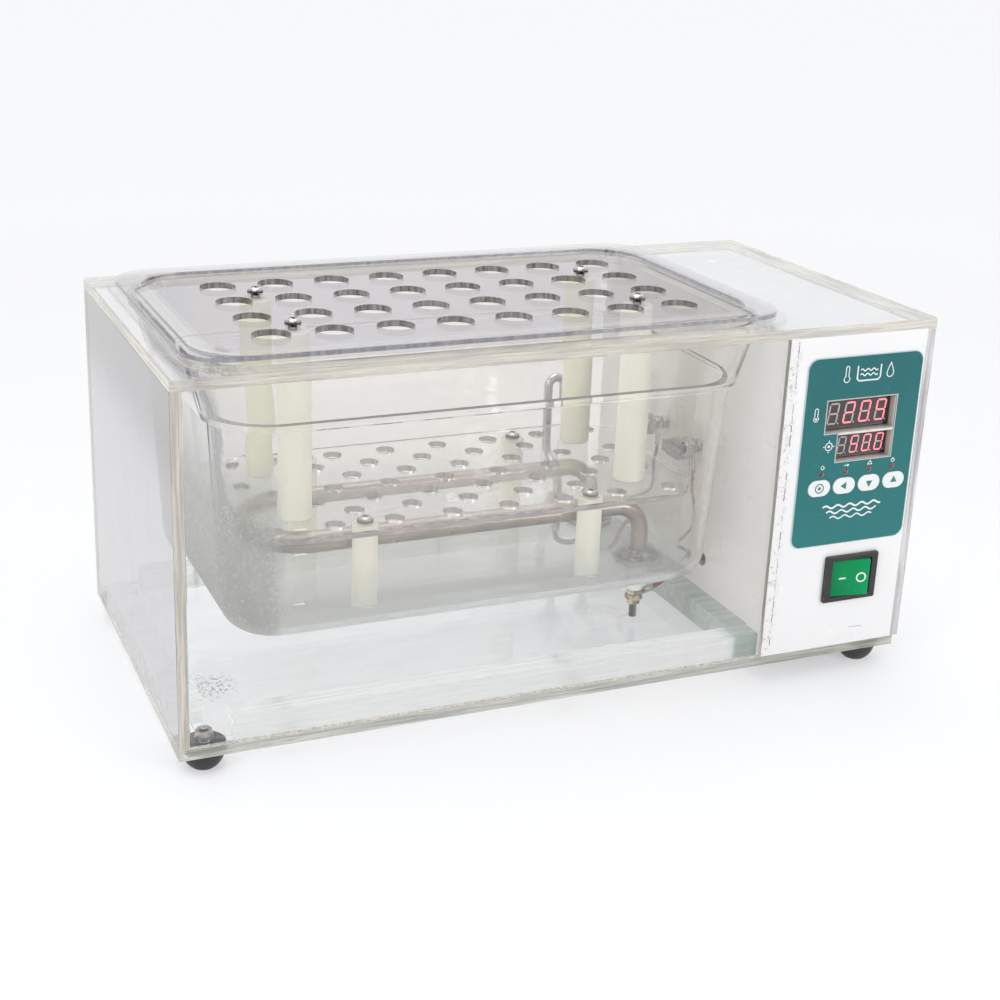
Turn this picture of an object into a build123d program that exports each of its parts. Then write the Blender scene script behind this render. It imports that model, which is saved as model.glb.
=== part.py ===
from build123d import *
import math
import os

# Transparent laboratory water bath: a clear sheet shell on a base plate, a moulded clear
# tank hung in the top plate, a lift-out cover carrying a test tube rack, a U-shaped
# immersion heater and a control compartment on the right.
# Millimetres. x runs from the left end, y from the front face to the back, z up from the
# underside of the base plate. Each piece is moved on export, so that the origin lies in
# the middle of the footprint on the bench.

# ---- shell -----------------------------------------------------------------
CASE_L, CASE_D, CASE_H = 387.0, 195.0, 178.0    # length, depth, height to the top face
SHEET = 5.0                         # clear sheet thickness
TOP_Z = CASE_H - SHEET              # underside of the top plate
BACK_Y = CASE_D - SHEET             # inner face of the back panel
BASE_L = 384.0                      # the base plate stops short of the right face
DIV_X0, DIV_X1 = 302.6, 307.0       # divider between tank and control spaces
CTRL_X1 = CASE_L - SHEET            # right end of the white control front
LINER = 2.5                         # white liner thickness
MID_Y = 96.7935                     # half way between the rocker's nose and the inlet's back

FOOT_H, FOOT_D = 10.0, 20.0
FOOT_INSET_X, FOOT_INSET_Y = 14.0, 12.4
FOOT_XY = [(x, y) for y in (FOOT_INSET_Y, CASE_D - FOOT_INSET_Y)
           for x in (FOOT_INSET_X, BASE_L - FOOT_INSET_X)]

STRIP = 12.0                        # side of the square corner strips
STRIP_Y1 = SHEET + STRIP
STRIP_END = 26.0                    # start of the strips, clear of the shell's corners
STRIP_MID = SHEET + STRIP / 2       # centreline of a strip from the outer face
STRIP_SCREW_XY = (
    [(x, y) for y in (STRIP_MID, CASE_D - STRIP_MID) for x in (52.0, 196.0)]
    + [(x, y) for x in (STRIP_MID, DIV_X0 - STRIP / 2) for y in (62.0, 133.0)])
WIRE_HOLES = [(66.0, 34.0), (132.0, 34.0), (156.0, 30.0)]     # y, z in the divider

# ---- tank; sizes of rounded rectangles are half x, half y, corner radius ----
TANK_CX, TANK_CY = 160.0, CASE_D / 2
FLANGE = (153.2, 93.0, 24.0)
FLANGE_T = 2.5
MOUTH = (144.8, 85.5, 32.0)         # outer size under the flange
SHOULDER = (136.3, 82.6, 33.0)
FLOOR = (127.5, 73.5, 26.0)
SHOULDER_Z = 145.6                  # height of the stacking step
STEP = 3.0
FLOOR_FILLET = 15.0
TANK_Z0 = 39.2                      # underside of the tank
TANK_T = 3.0                        # wall of the lower part and the floor
UPPER_T = TANK_T - 0.4              # wall above the shoulder
FLOOR_Z = TANK_Z0 + TANK_T          # tank floor, inside
OVERLAP_Z = SHOULDER_Z + 0.5        # top of the lower part, lapped into the upper

# ---- cover and rack --------------------------------------------------------
LID = (149.2, 86.6, 20.0)
LID_Z0, LID_Z1 = CASE_H + FLANGE_T + 0.05, 183.4
RECESS = (139.0, 77.2, 26.0)
LID_FLOOR_Z0, LID_FLOOR_Z1 = CASE_H, CASE_H + 3.0
LID_HOLE_D = 18.0
PITCH_X, PITCH_Y = 30.0, 32.0
COLS, ROWS = 8, 4
HOLE_X0, HOLE_Y0 = 58.2, TANK_CY - (ROWS - 1) / 2 * PITCH_Y
LONG_POST_D, SHORT_POST_D = 16.0, 12.5
RACK = (119.4, 61.0, 25.0)
RACK_CX = 164.6
RACK_Z0, RACK_Z1 = 83.5, 86.5
RACK_HOLE_D = 10.0


def grid_xy(column, row):
    return (HOLE_X0 + PITCH_X * column, HOLE_Y0 + PITCH_Y * row)


TUBE_XY = [grid_xy(i, j) for j in range(ROWS) for i in range(COLS)]
LONG_XY = [grid_xy(i, j) for i in (0.5, 6.5) for j in (0.5, 2.5)]
SHORT_XY = [grid_xy(i, j) for i in (1.5, 5.5) for j in (0, 3)]
BETWEEN_XY = [grid_xy(i + 0.5, j + 0.5) for i in range(COLS - 1) for j in range(ROWS - 1)]
BETWEEN_XY = [p for p in BETWEEN_XY
              if all(abs(p[0] - q[0]) + abs(p[1] - q[1]) > 1 for q in LONG_XY)]

# ---- M4 hardware -----------------------------------------------------------
M4_CLEAR = 4.3
M4_TAPPED = 4.06
M4_NUT = 7.0                        # across flats
M4_PITCH = 0.7
M3_CLEAR = 3.3

# ---- heater ----------------------------------------------------------------
SHEATH_D = 9.0
HEAT_Y = (61.0, 119.0)              # the two legs
HEAT_X = 259.3                      # risers
HEAT_XL = 82.5                      # centre of the left return bend
HEAT_Z = 73.1
HEAT_BEND = 15.0
GASKET_T = 2.4
SEAL_T = 2.0
INSULATOR_H = 12.4
INSULATOR_Z = TANK_Z0 - SEAL_T - INSULATOR_H    # underside of the insulator
UPPER_NUT_H, LOWER_NUT_H = 3.2, 2.9
UPPER_NUT_Z = INSULATOR_Z - UPPER_NUT_H
TERMINAL_Z = UPPER_NUT_Z - 0.95
WASHER_Z = TERMINAL_Z - 1.1
LOWER_NUT_Z = WASHER_Z - 3.0
STUD_Z = 8.6                        # lower end of the studs
# y of the leg, turn of its terminal in degrees, hole its wire goes through
HEATER_LEADS = [(HEAT_Y[0], 14, WIRE_HOLES[0]), (HEAT_Y[1], -8, WIRE_HOLES[1])]

# ---- electrodes and probe --------------------------------------------------
ELEC_Z = 98.0
# y of the electrode, sideways swing of its wire, wire's y offset near the hole, hole
ELECTRODES = [(70.0, -9.0, 5.0, WIRE_HOLES[0]), (112.0, 9.0, 4.0, WIRE_HOLES[1])]
# outer face of the right tank wall at the electrodes' height
WALL_X = (TANK_CX + FLOOR[0] + (SHOULDER[0] - STEP - FLOOR[0])
          * (ELEC_Z - TANK_Z0) / (OVERLAP_Z - TANK_Z0))
PROBE_X, PROBE_Y = 253.4, 164.5
PROBE_FOOT_Y = 146.8
PROBE_Z0, PROBE_BEND_Z = TANK_Z0 - 14.0, 106.5
PROBE_BEND_R = 4.8
PROBE_D = 5.0
GLAND_D, GLAND_AF = 8.0, 12.0

# ---- control front ---------------------------------------------------------
LABEL_X0, LABEL_X1 = 313.4, 380.8
LABEL_Z0, LABEL_Z1 = 63.0, 162.2
LABEL_T, LABEL_R = 0.6, 5.5
# display windows: x0, x1, z0, z1
PV_WINDOW = (326.8, 367.4, 123.2, 139.8)
SV_WINDOW = (334.8, 367.4, 107.8, 121.6)
BTN_X = (326.6, 341.4, 356.3, 371.2)
BTN_Z = 94.5
BTN_W, BTN_H = 13.0, 8.6
BTN_FRONT, BTN_BACK = -1.1, 5.3
LED_X = (327.4, 341.6, 355.6, 369.4)
LED_Z = 102.0
SW_X, SW_Z = 351.5, 43.4            # rocker switch centre
SW_W, SW_H = 31.5, 25.4             # bezel
RK_W, RK_H = 21.6, 19.4             # rocker
PIVOT_Y = 4.2
TILT = 8.0                          # the rocker rests with one half pressed in
BOARD_Y0, BOARD_Y1 = 14.0, 15.6
BOARD_XZ = [(x, z) for z in (66.0, 156.0) for x in (314.5, 375.5)]

# ---- back of the control space ---------------------------------------------
INLET_X, INLET_Z = 343.0, 46.0
INLET_SCREW_X = (INLET_X - 20.0, INLET_X + 20.0)
VENT_X0, VENT_Z0, VENT_PITCH, VENT_D = 323.0, 120.0, 10.0, 4.0

OFFSET = Location((-CASE_L / 2, -MID_Y, FOOT_H))
UP = (Align.CENTER, Align.CENTER, Align.MIN)
PARTS = {}


def part(build):
    """Register a function: its name is the file name, its result one shape or a list."""
    PARTS[build.__name__] = build
    return build


# ---- basic shapes ----------------------------------------------------------
def box(x0, x1, y0, y1, z0, z1):
    return Pos((x0 + x1) / 2, (y0 + y1) / 2, (z0 + z1) / 2) * Box(x1 - x0, y1 - y0, z1 - z0)


def cyl(x, y, z0, z1, d):
    return Pos(x, y, (z0 + z1) / 2) * Cylinder(d / 2, z1 - z0)


def cyl_x(x0, x1, y, z, d):
    return Pos((x0 + x1) / 2, y, z) * Rot(0, 90, 0) * Cylinder(d / 2, x1 - x0)


def cyl_y(x, y0, y1, z, d):
    return Pos(x, (y0 + y1) / 2, z) * Rot(90, 0, 0) * Cylinder(d / 2, y1 - y0)


def slot_y(x, y0, y1, z, width, height):
    """Slot-shaped bar lying along y."""
    return Pos(x, y0, z) * Rot(-90, 0, 0) * extrude(SlotOverall(width, height), y1 - y0)


def grow(size, t):
    """Offset a (half x, half y, radius) size outwards by t."""
    return tuple(value + t for value in size)


def slab(size, z0, z1, cx=TANK_CX):
    half_x, half_y, radius = size
    return Pos(cx, TANK_CY, z0) * extrude(
        RectangleRounded(2 * half_x, 2 * half_y, radius), z1 - z0)


def taper(size0, z0, size1, z1):
    """Loft between two rounded rectangles about the tank centre."""
    ends = [Pos(TANK_CX, TANK_CY, z) * RectangleRounded(2 * half_x, 2 * half_y, radius)
            for (half_x, half_y, radius), z in ((size0, z0), (size1, z1))]
    return loft(ends, ruled=True)


def edges_at(shape, z, tol=0.02):
    return [e for e in shape.edges()
            if abs(e.bounding_box().min.Z - z) < tol and abs(e.bounding_box().max.Z - z) < tol]


def round_bar(path, d, **options):
    start = Plane(origin=path @ 0, z_dir=path % 0)
    return sweep(start * Circle(d / 2), path=path, **options)


def cable(points, d, start_dir, end_dir):
    return round_bar(Spline(*points, tangents=[start_dir, end_dir]), d)


# ---- fasteners and terminals, on the z axis --------------------------------
def hex_prism(across_flats, t):
    return extrude(RegularPolygon(across_flats / math.sqrt(3), 6), t)


def hex_nut(across_flats, t, bore):
    """Hexagon nut with chamfered corners, from z = 0."""
    blank = Pos(0, 0, t / 2) * Cylinder(across_flats / math.sqrt(3) + 0.01, t)
    corner = 0.35 * (2 / math.sqrt(3) - 1) * across_flats + 0.15
    blank = chamfer(blank.edges().filter_by(GeomType.CIRCLE), corner)
    nut = hex_prism(across_flats, t) & blank
    return nut - Pos(0, 0, t / 2) * Cylinder(bore / 2, t + 1)


def washer(outer_d, bore, t):
    return extrude(Circle(outer_d / 2) - Circle(bore / 2), t)


def cross(length, width, depth):
    return Box(length, width, depth) + Box(width, length, depth)


def pan_screw(d, head_d, head_h, length):
    """Pan head cross-recess screw, head above z = 0, shank below."""
    rim = Polyline((0, 0), (head_d / 2, 0), (head_d / 2, 0.35 * head_h))
    dome = ThreePointArc((head_d / 2, 0.35 * head_h), (head_d * 0.36, 0.84 * head_h),
                         (0, head_h))
    axis_line = Line((0, head_h), (0, 0))
    screw = revolve(make_face(Plane.XZ * (rim + dome + axis_line)), Axis.Z, 360)
    screw += Pos(0, 0, -length / 2 + 0.05) * Cylinder(d / 2, length + 0.1)
    return screw - Pos(0, 0, head_h - 0.55) * cross(head_d * 0.52, head_d * 0.12, 1.7)


def flat_screw(d, head_d, length):
    """Countersunk cross-recess screw, flat top at z = 0."""
    head_h = (head_d - d) / 2
    screw = Pos(0, 0, -head_h / 2) * Cone(d / 2, head_d / 2, head_h)
    screw += Pos(0, 0, -head_h - (length - head_h) / 2) * Cylinder(d / 2, length - head_h)
    return screw - cross(head_d * 0.5, head_d * 0.12, 2.0)


def stud(d, length, pitch, depth=0.22):
    """Threaded stud from z = 0 upwards; the thread is a stack of vee grooves."""
    points = [(0, 0), (d / 2 - 0.45, 0), (d / 2, 0.4)]
    z = 0.4
    for _ in range(int((length - 0.8) / pitch)):
        points += [(d / 2 - depth, z + pitch * 0.5), (d / 2, z + pitch)]
        z += pitch
    points += [(d / 2 - 0.45, length), (0, length)]
    return revolve(make_face(Plane.XZ * Polyline(*points, close=True)), Axis.Z, 360)


def ring_terminal(ring_r, t, neck_x, neck_l, neck_w, barrel_x, barrel_r, barrel_l,
                  bore_x, bore_r):
    """Crimp terminal: flat ring on the z axis, neck and wire barrel along x."""
    hole_r = 2.15
    barrel_z = t / 2 + 0.9
    ring = extrude(Circle(ring_r) - Circle(hole_r), t)
    neck = Pos(neck_x, 0, t / 2) * Box(neck_l, neck_w, t)
    neck -= Cylinder(hole_r, 4)
    barrel = Pos(barrel_x, 0, barrel_z) * Rot(0, 90, 0) * Cylinder(barrel_r, barrel_l)
    barrel -= Pos(bore_x, 0, barrel_z) * Rot(0, 90, 0) * Cylinder(bore_r, barrel_l)
    return ring + neck + barrel


# ---- shell -----------------------------------------------------------------
@part
def base_plate():
    base = box(0, BASE_L, 0, CASE_D, 0, SHEET)
    for x, y in FOOT_XY:
        base -= cyl(x, y, -1, SHEET + 1, 4.4)
    for x, y in STRIP_SCREW_XY:
        base -= cyl(x, y, -1, SHEET + 1, M3_CLEAR)
        base -= Pos(x, y, 0.8) * Cone(3.2, 1.6, 1.7)
    # air slots under the control space
    for i in range(6):
        slot = extrude(SlotOverall(46, 3.2, rotation=90), 8, both=True)
        base -= Pos(322 + i * 9.0, CASE_D / 2, SHEET / 2) * slot
    return base


@part
def front_panel():
    return box(SHEET, DIV_X0, 0, SHEET, SHEET, TOP_Z)


@part
def left_panel():
    return box(0, SHEET, 0, CASE_D, SHEET, TOP_Z)


def cut_back_openings(panel):
    """Cut the mains inlet, its screw holes and the round air holes."""
    y0, y1 = CASE_D - 12, CASE_D + 2
    panel -= box(INLET_X - 14.0, INLET_X + 14.0, y0, y1, INLET_Z - 10.4, INLET_Z + 10.4)
    for x in INLET_SCREW_X:
        panel -= cyl_y(x, y0, y1, INLET_Z, M3_CLEAR)
    for row in range(4):
        for col in range(5):
            panel -= cyl_y(VENT_X0 + col * VENT_PITCH, y0, y1,
                           VENT_Z0 + row * VENT_PITCH, VENT_D)
    return panel


@part
def back_panel():
    return cut_back_openings(box(SHEET, CTRL_X1, BACK_Y, CASE_D, SHEET, TOP_Z))


@part
def right_panel():
    return box(CTRL_X1, CASE_L, 0, CASE_D, SHEET, TOP_Z)


@part
def top_plate():
    plate = box(0, CASE_L, 0, CASE_D, TOP_Z, CASE_H)
    return plate - slab(grow(MOUTH, 0.8), TOP_Z - 1, CASE_H + 1)


@part
def divider_panel():
    panel = box(DIV_X0, DIV_X1, SHEET, BACK_Y, SHEET, TOP_Z)
    for y, z in WIRE_HOLES:
        panel -= cyl_x(DIV_X0 - 2, DIV_X1 + 2, y, z, 8.0)
    # the front edge comes through to the front face
    panel += box(DIV_X0, DIV_X1, 0, SHEET, SHEET, TOP_Z)
    # relief where the widest part of the tank mouth comes close
    return panel - slab(grow(MOUTH, 0.5), 164.0, TOP_Z + 1)


def cut_front_openings(panel, key_gap, led_hole_d):
    """Cut the display windows, key slots and lamp holes."""
    y0, y1 = -1, 6
    for x0, x1, z0, z1 in (PV_WINDOW, SV_WINDOW):
        panel -= box(x0, x1, y0, y1, z0, z1)
    for x in BTN_X:
        panel -= slot_y(x, y0, y1, BTN_Z, BTN_W + key_gap, BTN_H + key_gap)
    for x in LED_X:
        panel -= cyl_y(x, y0, y1, LED_Z, led_hole_d)
    return panel


@part
def control_front_panel():
    panel = cut_front_openings(box(DIV_X1, CTRL_X1, 0, SHEET, SHEET, TOP_Z),
                               key_gap=0.5, led_hole_d=3.3)
    return panel - box(SW_X - 14.2, SW_X + 14.2, -1, 6, SW_Z - 11.1, SW_Z + 11.1)


@part
def control_liners():
    z1 = TOP_Z - LINER
    side = box(CTRL_X1 - LINER, CTRL_X1, SHEET, BACK_Y, SHEET, z1)
    top = box(DIV_X1, CTRL_X1, SHEET, BACK_Y, z1, TOP_Z)
    back = box(DIV_X1, CTRL_X1 - LINER, BACK_Y - LINER, BACK_Y, SHEET, z1)
    return [side, top, cut_back_openings(back)]


@part
def corner_strips():
    """Square clear strips inside the lower edge, screwed from below."""
    z1 = SHEET + STRIP
    blanks = [
        box(STRIP_END, DIV_X0 - 1.0, SHEET, STRIP_Y1, SHEET, z1),
        box(STRIP_END, DIV_X0 - 1.0, CASE_D - STRIP_Y1, BACK_Y, SHEET, z1),
        box(SHEET, STRIP_Y1, STRIP_END, CASE_D - STRIP_END, SHEET, z1),
        box(DIV_X0 - STRIP, DIV_X0, STRIP_Y1 + 0.5, CASE_D - STRIP_Y1 - 0.5, SHEET, z1)]
    strips = []
    for strip in blanks:
        for x, y in STRIP_SCREW_XY:
            strip = strip - cyl(x, y, 0, SHEET + 9.4, 3.06)
        strips.append(chamfer(strip.edges().filter_by(Axis.Z), 0.4))
    return strips


@part
def base_screws():
    screw = Rot(180, 0, 0) * flat_screw(3.0, 5.6, 13.5)
    return [Pos(x, y, 0.05) * screw for x, y in STRIP_SCREW_XY]


# ---- feet ------------------------------------------------------------------
@part
def rubber_feet():
    radius = FOOT_D / 2
    bottom_r = radius - 4.4
    top = Polyline((0, 0), (radius, 0), (radius, -2.4))
    side = ThreePointArc((radius, -2.4), (radius - 1.5, -FOOT_H + 3.2), (bottom_r, -FOOT_H))
    bottom = Polyline((bottom_r, -FOOT_H), (0, -FOOT_H), (0, 0))
    foot = revolve(make_face(Plane.XZ * (top + side + bottom)), Axis.Z, 360)
    foot -= Pos(0, 0, -FOOT_H / 2) * Cylinder(M4_CLEAR / 2, FOOT_H + 2)
    foot -= Pos(0, 0, -FOOT_H + 1.9) * Cylinder(4.3, 4.0)     # screw head pocket
    return [Pos(x, y, 0) * foot for x, y in FOOT_XY]


@part
def foot_screws():
    screw = Pos(0, 0, -FOOT_H + 3.9) * Rot(180, 0, 0) * pan_screw(4.0, 7.6, 2.4, 16.0)
    return [Pos(x, y, 0) * screw for x, y in FOOT_XY]


@part
def foot_nuts():
    pieces = []
    for x, y in FOOT_XY:
        pieces.append(Pos(x, y, SHEET) * washer(9.0, M4_CLEAR, 1.0))
        pieces.append(Pos(x, y, SHEET + 1.0) * hex_nut(M4_NUT, 3.2, M4_TAPPED))
    return pieces


# ---- tank ------------------------------------------------------------------
@part
def tank():
    below = grow(SHOULDER, -STEP)
    outer_low = taper(FLOOR, TANK_Z0, below, OVERLAP_Z)
    outer_low = fillet(edges_at(outer_low, TANK_Z0), FLOOR_FILLET)
    outer_up = taper(SHOULDER, SHOULDER_Z, MOUTH, CASE_H)
    outer = outer_low + outer_up + slab(FLANGE, CASE_H, CASE_H + FLANGE_T)

    inner_low = taper(grow(FLOOR, -TANK_T), FLOOR_Z,
                      grow(below, -TANK_T), SHOULDER_Z + TANK_T + 0.3)
    inner_low = fillet(edges_at(inner_low, FLOOR_Z), FLOOR_FILLET - TANK_T)
    inner_up = taper(grow(SHOULDER, -UPPER_T), SHOULDER_Z + TANK_T,
                     grow(MOUTH, -UPPER_T), CASE_H + 0.02)
    opening = slab(grow(MOUTH, -UPPER_T), CASE_H, CASE_H + FLANGE_T + 1)
    body = outer - inner_low - inner_up - opening
    # guards the rounding of the flange: its edges stay sharp if the kernel refuses it
    try:
        body = fillet(edges_at(body, CASE_H + FLANGE_T), 0.8)
    except Exception:
        pass

    for y in HEAT_Y:
        body -= cyl(HEAT_X, y, TANK_Z0 - 1, FLOOR_Z + 1, 4.6)
    body -= cyl(PROBE_X, PROBE_FOOT_Y, TANK_Z0 - 1, FLOOR_Z + 1, 8.4)
    for y, *_ in ELECTRODES:
        body -= cyl_x(280, 296, y, ELEC_Z, 6.2)
    return body


# ---- cover and rack --------------------------------------------------------
@part
def lid():
    """Cover with a recessed perforated floor."""
    cover = slab(LID, LID_Z0, LID_Z1)
    cover = fillet(edges_at(cover, LID_Z1), 1.2)
    cover += slab(grow(RECESS, 2.4), LID_FLOOR_Z0, LID_Z0 + 0.5)
    cover = fillet(edges_at(cover, LID_FLOOR_Z0), 1.0)
    cover -= slab(RECESS, LID_FLOOR_Z1, LID_Z1 + 1)
    recess_rim = [e for e in edges_at(cover, LID_Z1)
                  if abs(e.bounding_box().center().X - TANK_CX) < RECESS[0] + 0.5
                  and abs(e.bounding_box().center().Y - TANK_CY) < RECESS[1] + 0.5]
    cover = fillet(recess_rim, 1.5)
    for points, d in ((TUBE_XY, LID_HOLE_D), (LONG_XY, M4_CLEAR)):
        for x, y in points:
            cover -= cyl(x, y, LID_FLOOR_Z0 - 1, LID_FLOOR_Z1 + 1, d)
    return cover


@part
def lid_screws():
    return [Pos(x, y, LID_FLOOR_Z1) * pan_screw(4.0, 8.0, 2.5, 13.0) for x, y in LONG_XY]


@part
def long_posts():
    """Posts between the cover and the rack plate, tapped at both ends."""
    posts = []
    for x, y in LONG_XY:
        post = cyl(x, y, RACK_Z1, LID_FLOOR_Z0, LONG_POST_D)
        post = chamfer(post.edges().filter_by(GeomType.CIRCLE), 0.7)
        post -= cyl(x, y, LID_FLOOR_Z0 - 12, LID_FLOOR_Z0 + 1, M4_TAPPED)
        post -= cyl(x, y, RACK_Z1 - 1, RACK_Z1 + 12, M4_TAPPED)
        posts.append(post)
    return posts


@part
def rack_plate():
    plate = slab(RACK, RACK_Z0, RACK_Z1, cx=RACK_CX)
    plate = chamfer(edges_at(plate, RACK_Z1) + edges_at(plate, RACK_Z0), 0.4)
    for x, y in TUBE_XY + BETWEEN_XY:
        plate -= cyl(x, y, RACK_Z0 - 1, RACK_Z1 + 1, RACK_HOLE_D)
    for x, y in LONG_XY:
        plate -= cyl(x, y, RACK_Z0 - 1, RACK_Z1 + 1, M4_CLEAR)
        plate -= Pos(x, y, RACK_Z0 + 1.0) * Cone(4.3, 2.1, 2.2)
    for x, y in SHORT_XY:
        plate -= cyl(x, y, RACK_Z0 - 1, RACK_Z1 + 1, M4_CLEAR)
    return plate


@part
def rack_lower_screws():
    screw = Rot(180, 0, 0) * flat_screw(4.0, 7.8, 14.0)
    return [Pos(x, y, RACK_Z0 + 0.1) * screw for x, y in LONG_XY]


@part
def short_posts():
    """Legs between the tank floor and the rack plate."""
    legs = []
    for x, y in SHORT_XY:
        leg = cyl(x, y, FLOOR_Z + 0.2, RACK_Z0, SHORT_POST_D)
        foot_edge = [e for e in leg.edges().filter_by(GeomType.CIRCLE)
                     if e.bounding_box().min.Z < 60]
        leg = fillet(foot_edge, 1.6)
        leg -= cyl(x, y, RACK_Z0 - 12, RACK_Z0 + 1, M4_TAPPED)
        legs.append(leg)
    return legs


@part
def rack_upper_screws():
    return [Pos(x, y, RACK_Z1) * pan_screw(4.0, 8.0, 2.5, 14.0) for x, y in SHORT_XY]


# ---- immersion heater ------------------------------------------------------
@part
def heater_tube():
    """Sheath: two risers, two bends and a long horizontal U."""
    y0, y1 = HEAT_Y
    riser_z0 = FLOOR_Z + 2.7
    bend_x, bend_z = HEAT_X - HEAT_BEND, HEAT_Z - HEAT_BEND
    diagonal = HEAT_BEND * math.sqrt(0.5)

    def bend_middle(y):
        return (bend_x + diagonal, y, bend_z + diagonal)

    path = Wire([
        Line((HEAT_X, y0, riser_z0), (HEAT_X, y0, bend_z)),
        ThreePointArc((HEAT_X, y0, bend_z), bend_middle(y0), (bend_x, y0, HEAT_Z)),
        Line((bend_x, y0, HEAT_Z), (HEAT_XL, y0, HEAT_Z)),
        ThreePointArc((HEAT_XL, y0, HEAT_Z), (HEAT_XL - (y1 - y0) / 2, (y0 + y1) / 2, HEAT_Z),
                      (HEAT_XL, y1, HEAT_Z)),
        Line((HEAT_XL, y1, HEAT_Z), (bend_x, y1, HEAT_Z)),
        ThreePointArc((bend_x, y1, HEAT_Z), bend_middle(y1), (HEAT_X, y1, bend_z)),
        Line((HEAT_X, y1, bend_z), (HEAT_X, y1, riser_z0))])
    return round_bar(path, SHEATH_D, transition=Transition.ROUND)


def at_risers(shape, z):
    return [Pos(HEAT_X, y, z) * shape for y in HEAT_Y]


@part
def heater_gaskets():
    gasket = extrude(Circle(12.9) - Circle(2.3), GASKET_T)
    rim = [e for e in gasket.edges().filter_by(GeomType.CIRCLE)
           if e.bounding_box().max.X > 12]
    return at_risers(fillet(rim, 0.7), FLOOR_Z)


@part
def heater_flanges():
    """Flange discs, each with a hub round the sheath."""
    flange = Cylinder(10.6, 1.4, align=UP)
    flange += Pos(0, 0, 1.4) * Cone(8.2, 6.4, 2.6, align=UP)
    flange -= Pos(0, 0, 0.3) * Cylinder(SHEATH_D / 2 + 0.03, 10, align=UP)
    flange -= Cylinder(2.1, 20)
    return at_risers(flange, FLOOR_Z + GASKET_T)


@part
def heater_seals():
    return at_risers(washer(15.0, M4_CLEAR, SEAL_T), TANK_Z0 - SEAL_T)


@part
def heater_insulators():
    """Ceramic insulators under the tank: a cone below a straight collar."""
    collar_h = 4.0
    body = Cone(4.0, 6.2, INSULATOR_H - collar_h, align=UP)
    body += Pos(0, 0, INSULATOR_H - collar_h) * Cylinder(6.2, collar_h, align=UP)
    body -= Cylinder(2.2, 40)
    return at_risers(body, INSULATOR_Z)


@part
def heater_nuts():
    return (at_risers(hex_nut(M4_NUT, UPPER_NUT_H, M4_TAPPED), UPPER_NUT_Z)
            + at_risers(hex_nut(M4_NUT, LOWER_NUT_H, M4_TAPPED), LOWER_NUT_Z))


@part
def heater_washers():
    return at_risers(washer(9.4, M4_CLEAR, 1.05), WASHER_Z)


@part
def heater_terminals():
    terminal = ring_terminal(ring_r=4.3, t=0.9, neck_x=5.2, neck_l=4.6, neck_w=3.4,
                             barrel_x=9.6, barrel_r=1.9, barrel_l=6.0,
                             bore_x=10.6, bore_r=1.28)
    return [Pos(HEAT_X, y, TERMINAL_Z) * Rot(0, 0, turn) * terminal
            for y, turn, _ in HEATER_LEADS]


@part
def heater_studs():
    return at_risers(stud(4.0, FLOOR_Z + 2.6 - STUD_Z, M4_PITCH), STUD_Z)


@part
def heater_wires():
    wire_z = TERMINAL_Z + 1.35      # axis of the terminal barrel
    wires = []
    for y, turn, (hole_y, hole_z) in HEATER_LEADS:
        dx, dy = math.cos(math.radians(turn)), math.sin(math.radians(turn))
        points = [(HEAT_X + 8.6 * dx, y + 8.6 * dy, wire_z),
                  (HEAT_X + 25.0, y + 0.45 * (hole_y - y) + 1.0, wire_z + 7.0),
                  (DIV_X0 - 2, hole_y, hole_z),
                  (DIV_X1 + 8, hole_y, hole_z)]
        wires.append(cable(points, 2.4, (dx, dy, 0), (1, 0, 0)))
    return wires


# ---- level electrodes in the right wall of the tank ------------------------
def at_electrodes(*placed):
    """Lay each (shape, distance from the wall) along x at both electrodes."""
    return [Pos(WALL_X + distance, y, ELEC_Z) * Rot(0, 90, 0) * shape
            for y, *_ in ELECTRODES for shape, distance in placed]


@part
def electrode_studs():
    return at_electrodes((stud(4.0, 16.0, M4_PITCH), -TANK_T - 1.6))


@part
def electrode_seals():
    return at_electrodes((extrude(Circle(6.0) - Circle(2.06), 1.6), 0.5))


@part
def electrode_nuts():
    return at_electrodes((washer(9.5, M4_CLEAR, 0.9), 2.15),
                         (hex_nut(M4_NUT, 2.6, M4_TAPPED), 3.1),
                         (hex_nut(M4_NUT, 2.4, M4_TAPPED), 8.55))


@part
def electrode_terminals():
    terminal = ring_terminal(ring_r=4.2, t=0.8, neck_x=5.0, neck_l=4.4, neck_w=3.2,
                             barrel_x=9.2, barrel_r=1.7, barrel_l=5.6,
                             bore_x=10.4, bore_r=1.05)
    return at_electrodes((terminal, 5.8))


@part
def electrode_wires():
    x = WALL_X + 5.8 + 1.3          # axis of the terminal barrel
    wires = []
    for y, swing, hole_dy, (hole_y, hole_z) in ELECTRODES:
        points = [(x, y, ELEC_Z - 8.8),
                  (x, y, ELEC_Z - 14.0),
                  (x + 0.2, y + swing * 0.3, ELEC_Z - 26.0),
                  (x + 0.2, y + swing * 0.7, ELEC_Z - 44.0),
                  (x - 4.0, hole_y + hole_dy, hole_z + 7.0),
                  (DIV_X0 - 1.0, hole_y + 0.4, hole_z + 2.6),
                  (DIV_X1 + 6.0, hole_y, hole_z + 2.6)]
        wires.append(cable(points, 1.8, (0, 0, -1), (1, 0, 0)))
    return wires


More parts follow.
